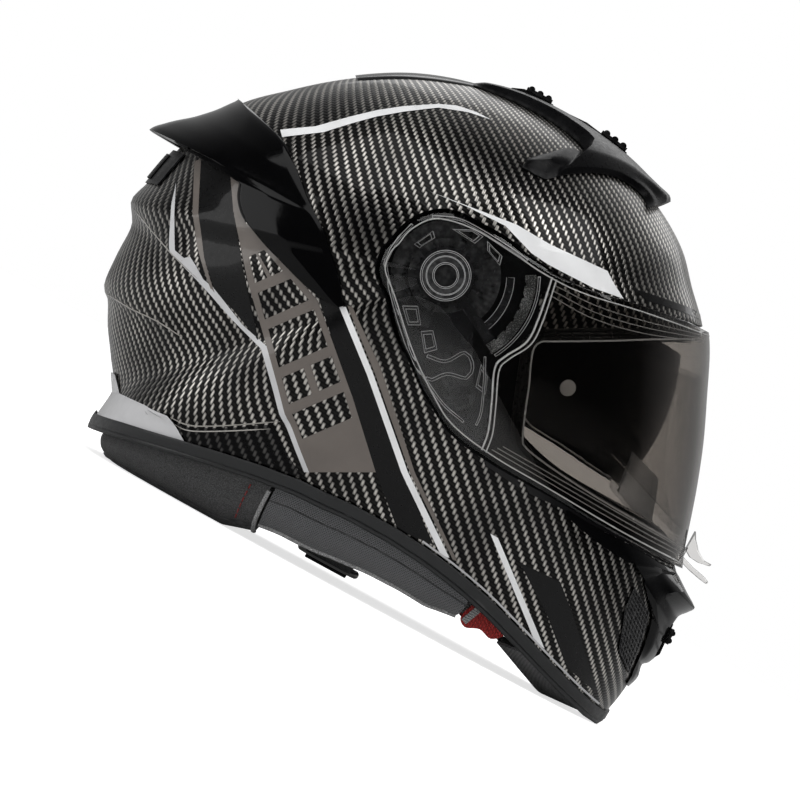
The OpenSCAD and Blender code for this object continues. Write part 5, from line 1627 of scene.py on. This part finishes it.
# Pull tabs of the cheek pads: a red loop and a pale tape over it
tab_y = HW - 40.4
loop_line = [(80, 28), (93, 26), (97, 19), (92, 13.5), (85, 15), (78, 12.5), (74, 17)]
loop_line = [tuple(p) for p in smooth_path(loop_line, 1.5, closed=True)]
for side, name in SIDES:
    v, f = prism(loop_line, tab_y, tab_y + 1.5, side)
    make("pull_loop_" + name, v, f, RED, uv=lambda co: co[:, (0, 2)] * 0.001, rep=["pull_tab_" + name],
         slot="red_ribbon", bevel=0.4)
    v, f = prism(stroke([(76.4, 14.6), (78.2, 19), (81.4, 26.8)], 3.4), tab_y - 0.35, tab_y + 1.85, side)
    make("pull_band_" + name, v, f, PALE, uv=lambda co: co[:, (2, 0)] * 0.001, slot="lining", bevel=0.3)

# Curtain under the chin
curtain_st = rim_stations(refine([-48.5, -46, -44, -42.6, RIM_FRONT - 0.001], 0.4))
curtain_section = ([(1, 6.6), (2.2, 6.6)] + [(2.2 + 1.8 * k / 8, 6.6 + 23.4 * k / 8) for k in range(1, 9)]
                   + [(2.8 - 1.8 * k / 8, 30 - 23.4 * k / 8) for k in range(8)])
v, f = sweep(curtain_st, curtain_section, level=True)
curtain = make("chin_curtain_cloth", v, f, KNIT, uv=level_uv, rep=["chin_curtain"], slot="lining", angle=50)

# Chin strap
STRAP_X, STRAP_W, STRAP_T = 5.0, 25.0, 2.0
half_section = [(0, 0), (0.5, 0.75), (1.6, 1.0)]
STRAP_SECTION = ([(x - STRAP_W / 2, k) for x, k in half_section]
                 + [(STRAP_W / 2 - x, k) for x, k in half_section[::-1]]
                 + [(STRAP_W / 2 - x, -k) for x, k in half_section[1:]]
                 + [(x - STRAP_W / 2, -k) for x, k in half_section[:0:-1]])
side_path = [(HW - d, z) for d, z in [(13.8, 68), (14.4, 59), (15.8, 50), (20.5, 45), (30, 42.3), (40, 39.8),
                                      (43.8, 34), (44.8, 26), (48, 17), (55, 11.5), (68, 8.8)]]


def webbing(path, side):
    """A flat band along (y, z) points, with rounded edges"""
    middle = smooth_path(path, 1.5)
    verts, uvs, total = [], [], 0.0
    for i, q in enumerate(middle):
        if i:
            total += float(np.linalg.norm(q - middle[i - 1]))
        pen = half_pen(middle, i, STRAP_T)
        for x, k in STRAP_SECTION:
            verts.append((STRAP_X + x, side * (q[0] + pen[0] * k), q[1] + pen[1] * k))
            uvs.append((total * 0.001, x * 0.001))
    n, m = len(middle), len(STRAP_SECTION)
    return verts, bands(n, m) + caps(n, m), np.array(uvs)


for side, name, tail in ((1, "left", [(45, 8), (32, 7.4), (26, 7.2)]),
                         (-1, "right", [(45, 9), (30, 13), (22, 16.2), (8, 17.6), (-12, 17.6)])):
    v, f, uvs = webbing(side_path + tail, side)
    if side == 1:
        for y, z in ((24, 7), (17.9, 11.8)):
            # loop of the band round each ring's bar
            n, base = 28, len(v)
            prof = [(-11.5, 2.06), (-11.5, 3.7), (-11, 4), (11, 4), (11.5, 3.7), (11.5, 2.06)]
            for i in range(n):
                c, s = math.cos(2 * math.pi * i / n), math.sin(2 * math.pi * i / n)
                v += [(STRAP_X + x, y + r * c, z + r * s) for x, r in prof]
                row = np.array([(r * 6.28 * i / n * 0.001, x * 0.001) for x, r in prof])
                uvs = np.concatenate([uvs, row])
            f += bands(n, len(prof), base, closed=True)
    make("chin_strap_" + name, v, f, WEB, uv=lambda co, u=uvs: u, rep=["strap_" + name], slot="webbing",
         merge=False, angle=40)

# Finishes of the solids that stay
KEPT = [(FOAM, "impact_liner chin_liner"), (RUBBER, "sun_cable"), (PIN, "lens_pins"),
        (VENT, "top_slider_front top_slider_rear chin_slider"), (BLACK, "sun_track sun_slider"),
        (GEAR, "visor_hub_left visor_hub_right base_plate_left base_plate_right release_lever_left"
               " release_lever_right"),
        (DARK_STEEL, "plate_screws_left plate_screws_right"),
        (SECTOR, "click_sector_left click_sector_right"),
        (STEEL, "sun_pivot_left sun_pivot_right strap_rivets d_ring_lower d_ring_upper")]
for material, names in KEPT:
    for name in names.split():
        ob = nodes[name]
        ob.data.materials.clear()
        ob.data.materials.append(material)
        if name not in ("impact_liner", "chin_liner", "sun_cable"):
            # the black mechanism parts get the paler material on their rounded edges, a painted highlight
            bevelled(ob, 0.3, 40, EDGE_HIGHLIGHT if material is GEAR else None)

# Floor, light and background
floor_mesh = bpy.data.meshes.new("floor")
bm = bmesh.new()
bmesh.ops.create_grid(bm, x_segments=8, y_segments=8, size=6)
bm.to_mesh(floor_mesh)
bm.free()
floor = bpy.data.objects.new("floor", floor_mesh)
scene.collection.objects.link(floor)
floor.location.z = -0.0002


def seen_straight(t):
    """What kind of ray looks, and 1 for the camera's rays or those that came through glass alone"""
    ray = t.nt.nodes.new("ShaderNodeLightPath").outputs
    first = t.math("ADD", ray["Diffuse Depth"], ray["Glossy Depth"]) < 0.5
    return ray, t.math("MAXIMUM", ray["Is Camera Ray"], t.math("MULTIPLY", ray["Is Transmission Ray"], first))


# Glow of the floor straight and in gloss, and the room's light on matt surfaces
FLOOR_GLOW, FLOOR_SHEEN, ROOM = 0.72, 0.04, 0.55
t = Tree("floor_pale")
t.set(Base_Color=grey(0.86), Roughness=0.9)
ray, seen = seen_straight(t)
sheen = t.math("MULTIPLY", ray["Is Glossy Ray"], FLOOR_SHEEN)
glow = t.node("ShaderNodeEmission", Strength=seen * FLOOR_GLOW + sheen)
both = t.node("ShaderNodeAddShader", t.p.outputs[0], glow.outputs[0])
t.put(t.out.inputs[0], both.outputs[0])
floor_mesh.materials.append(t.mat)

t = Tree("studio", world=True)
scene.world = t.mat
ray, seen = seen_straight(t)
# what shiny surfaces see: pale behind the helmet, a dim room in front of it
behind = t.split(t.coord("Generated"))[1]
shiny = t.math("GREATER_THAN", ray["Glossy Depth"], 0.5)
gloss = t.ramp(behind, 0.0, 0.95, 0.015, 0.3) * shiny
t.set(Color=(1, 1, 1, 1), Strength=t.math("MAXIMUM", seen, gloss + (1.0 - shiny) * ROOM))
# Height that the lamps aim at, in metres
AIM_Z = 0.13


def lamp(name, where, size_x, size_y, power):
    data = bpy.data.lights.new(name, "AREA")
    data.shape = "RECTANGLE"
    data.size, data.size_y = size_x, size_y
    data.energy = power
    ob = bpy.data.objects.new(name, data)
    ob.location = where
    ob.rotation_mode = "QUATERNION"
    ob.rotation_quaternion = (Vector((0, 0, AIM_Z)) - Vector(where)).to_track_quat("-Z", "Y")
    scene.collection.objects.link(ob)


def studio(right, up, toward):
    """A place given in the photo's own axes: right and up in the picture, and toward the camera"""
    return (right * cs - up * sn, -toward, right * sn + up * cs + AIM_Z)


lamp("softbox_rear", studio(-1.5, 0.35, 0.62), 1.3, 2.2, 14)
lamp("softbox_front", studio(1.35, 1.05, 0.6), 1.0, 1.0, 8)
lamp("softbox_top", studio(-0.1, 1.7, 0.75), 1.8, 1.0, 8)
lamp("softbox_far", (0.2, 1.7, 1.2), 1.6, 1.0, 5)
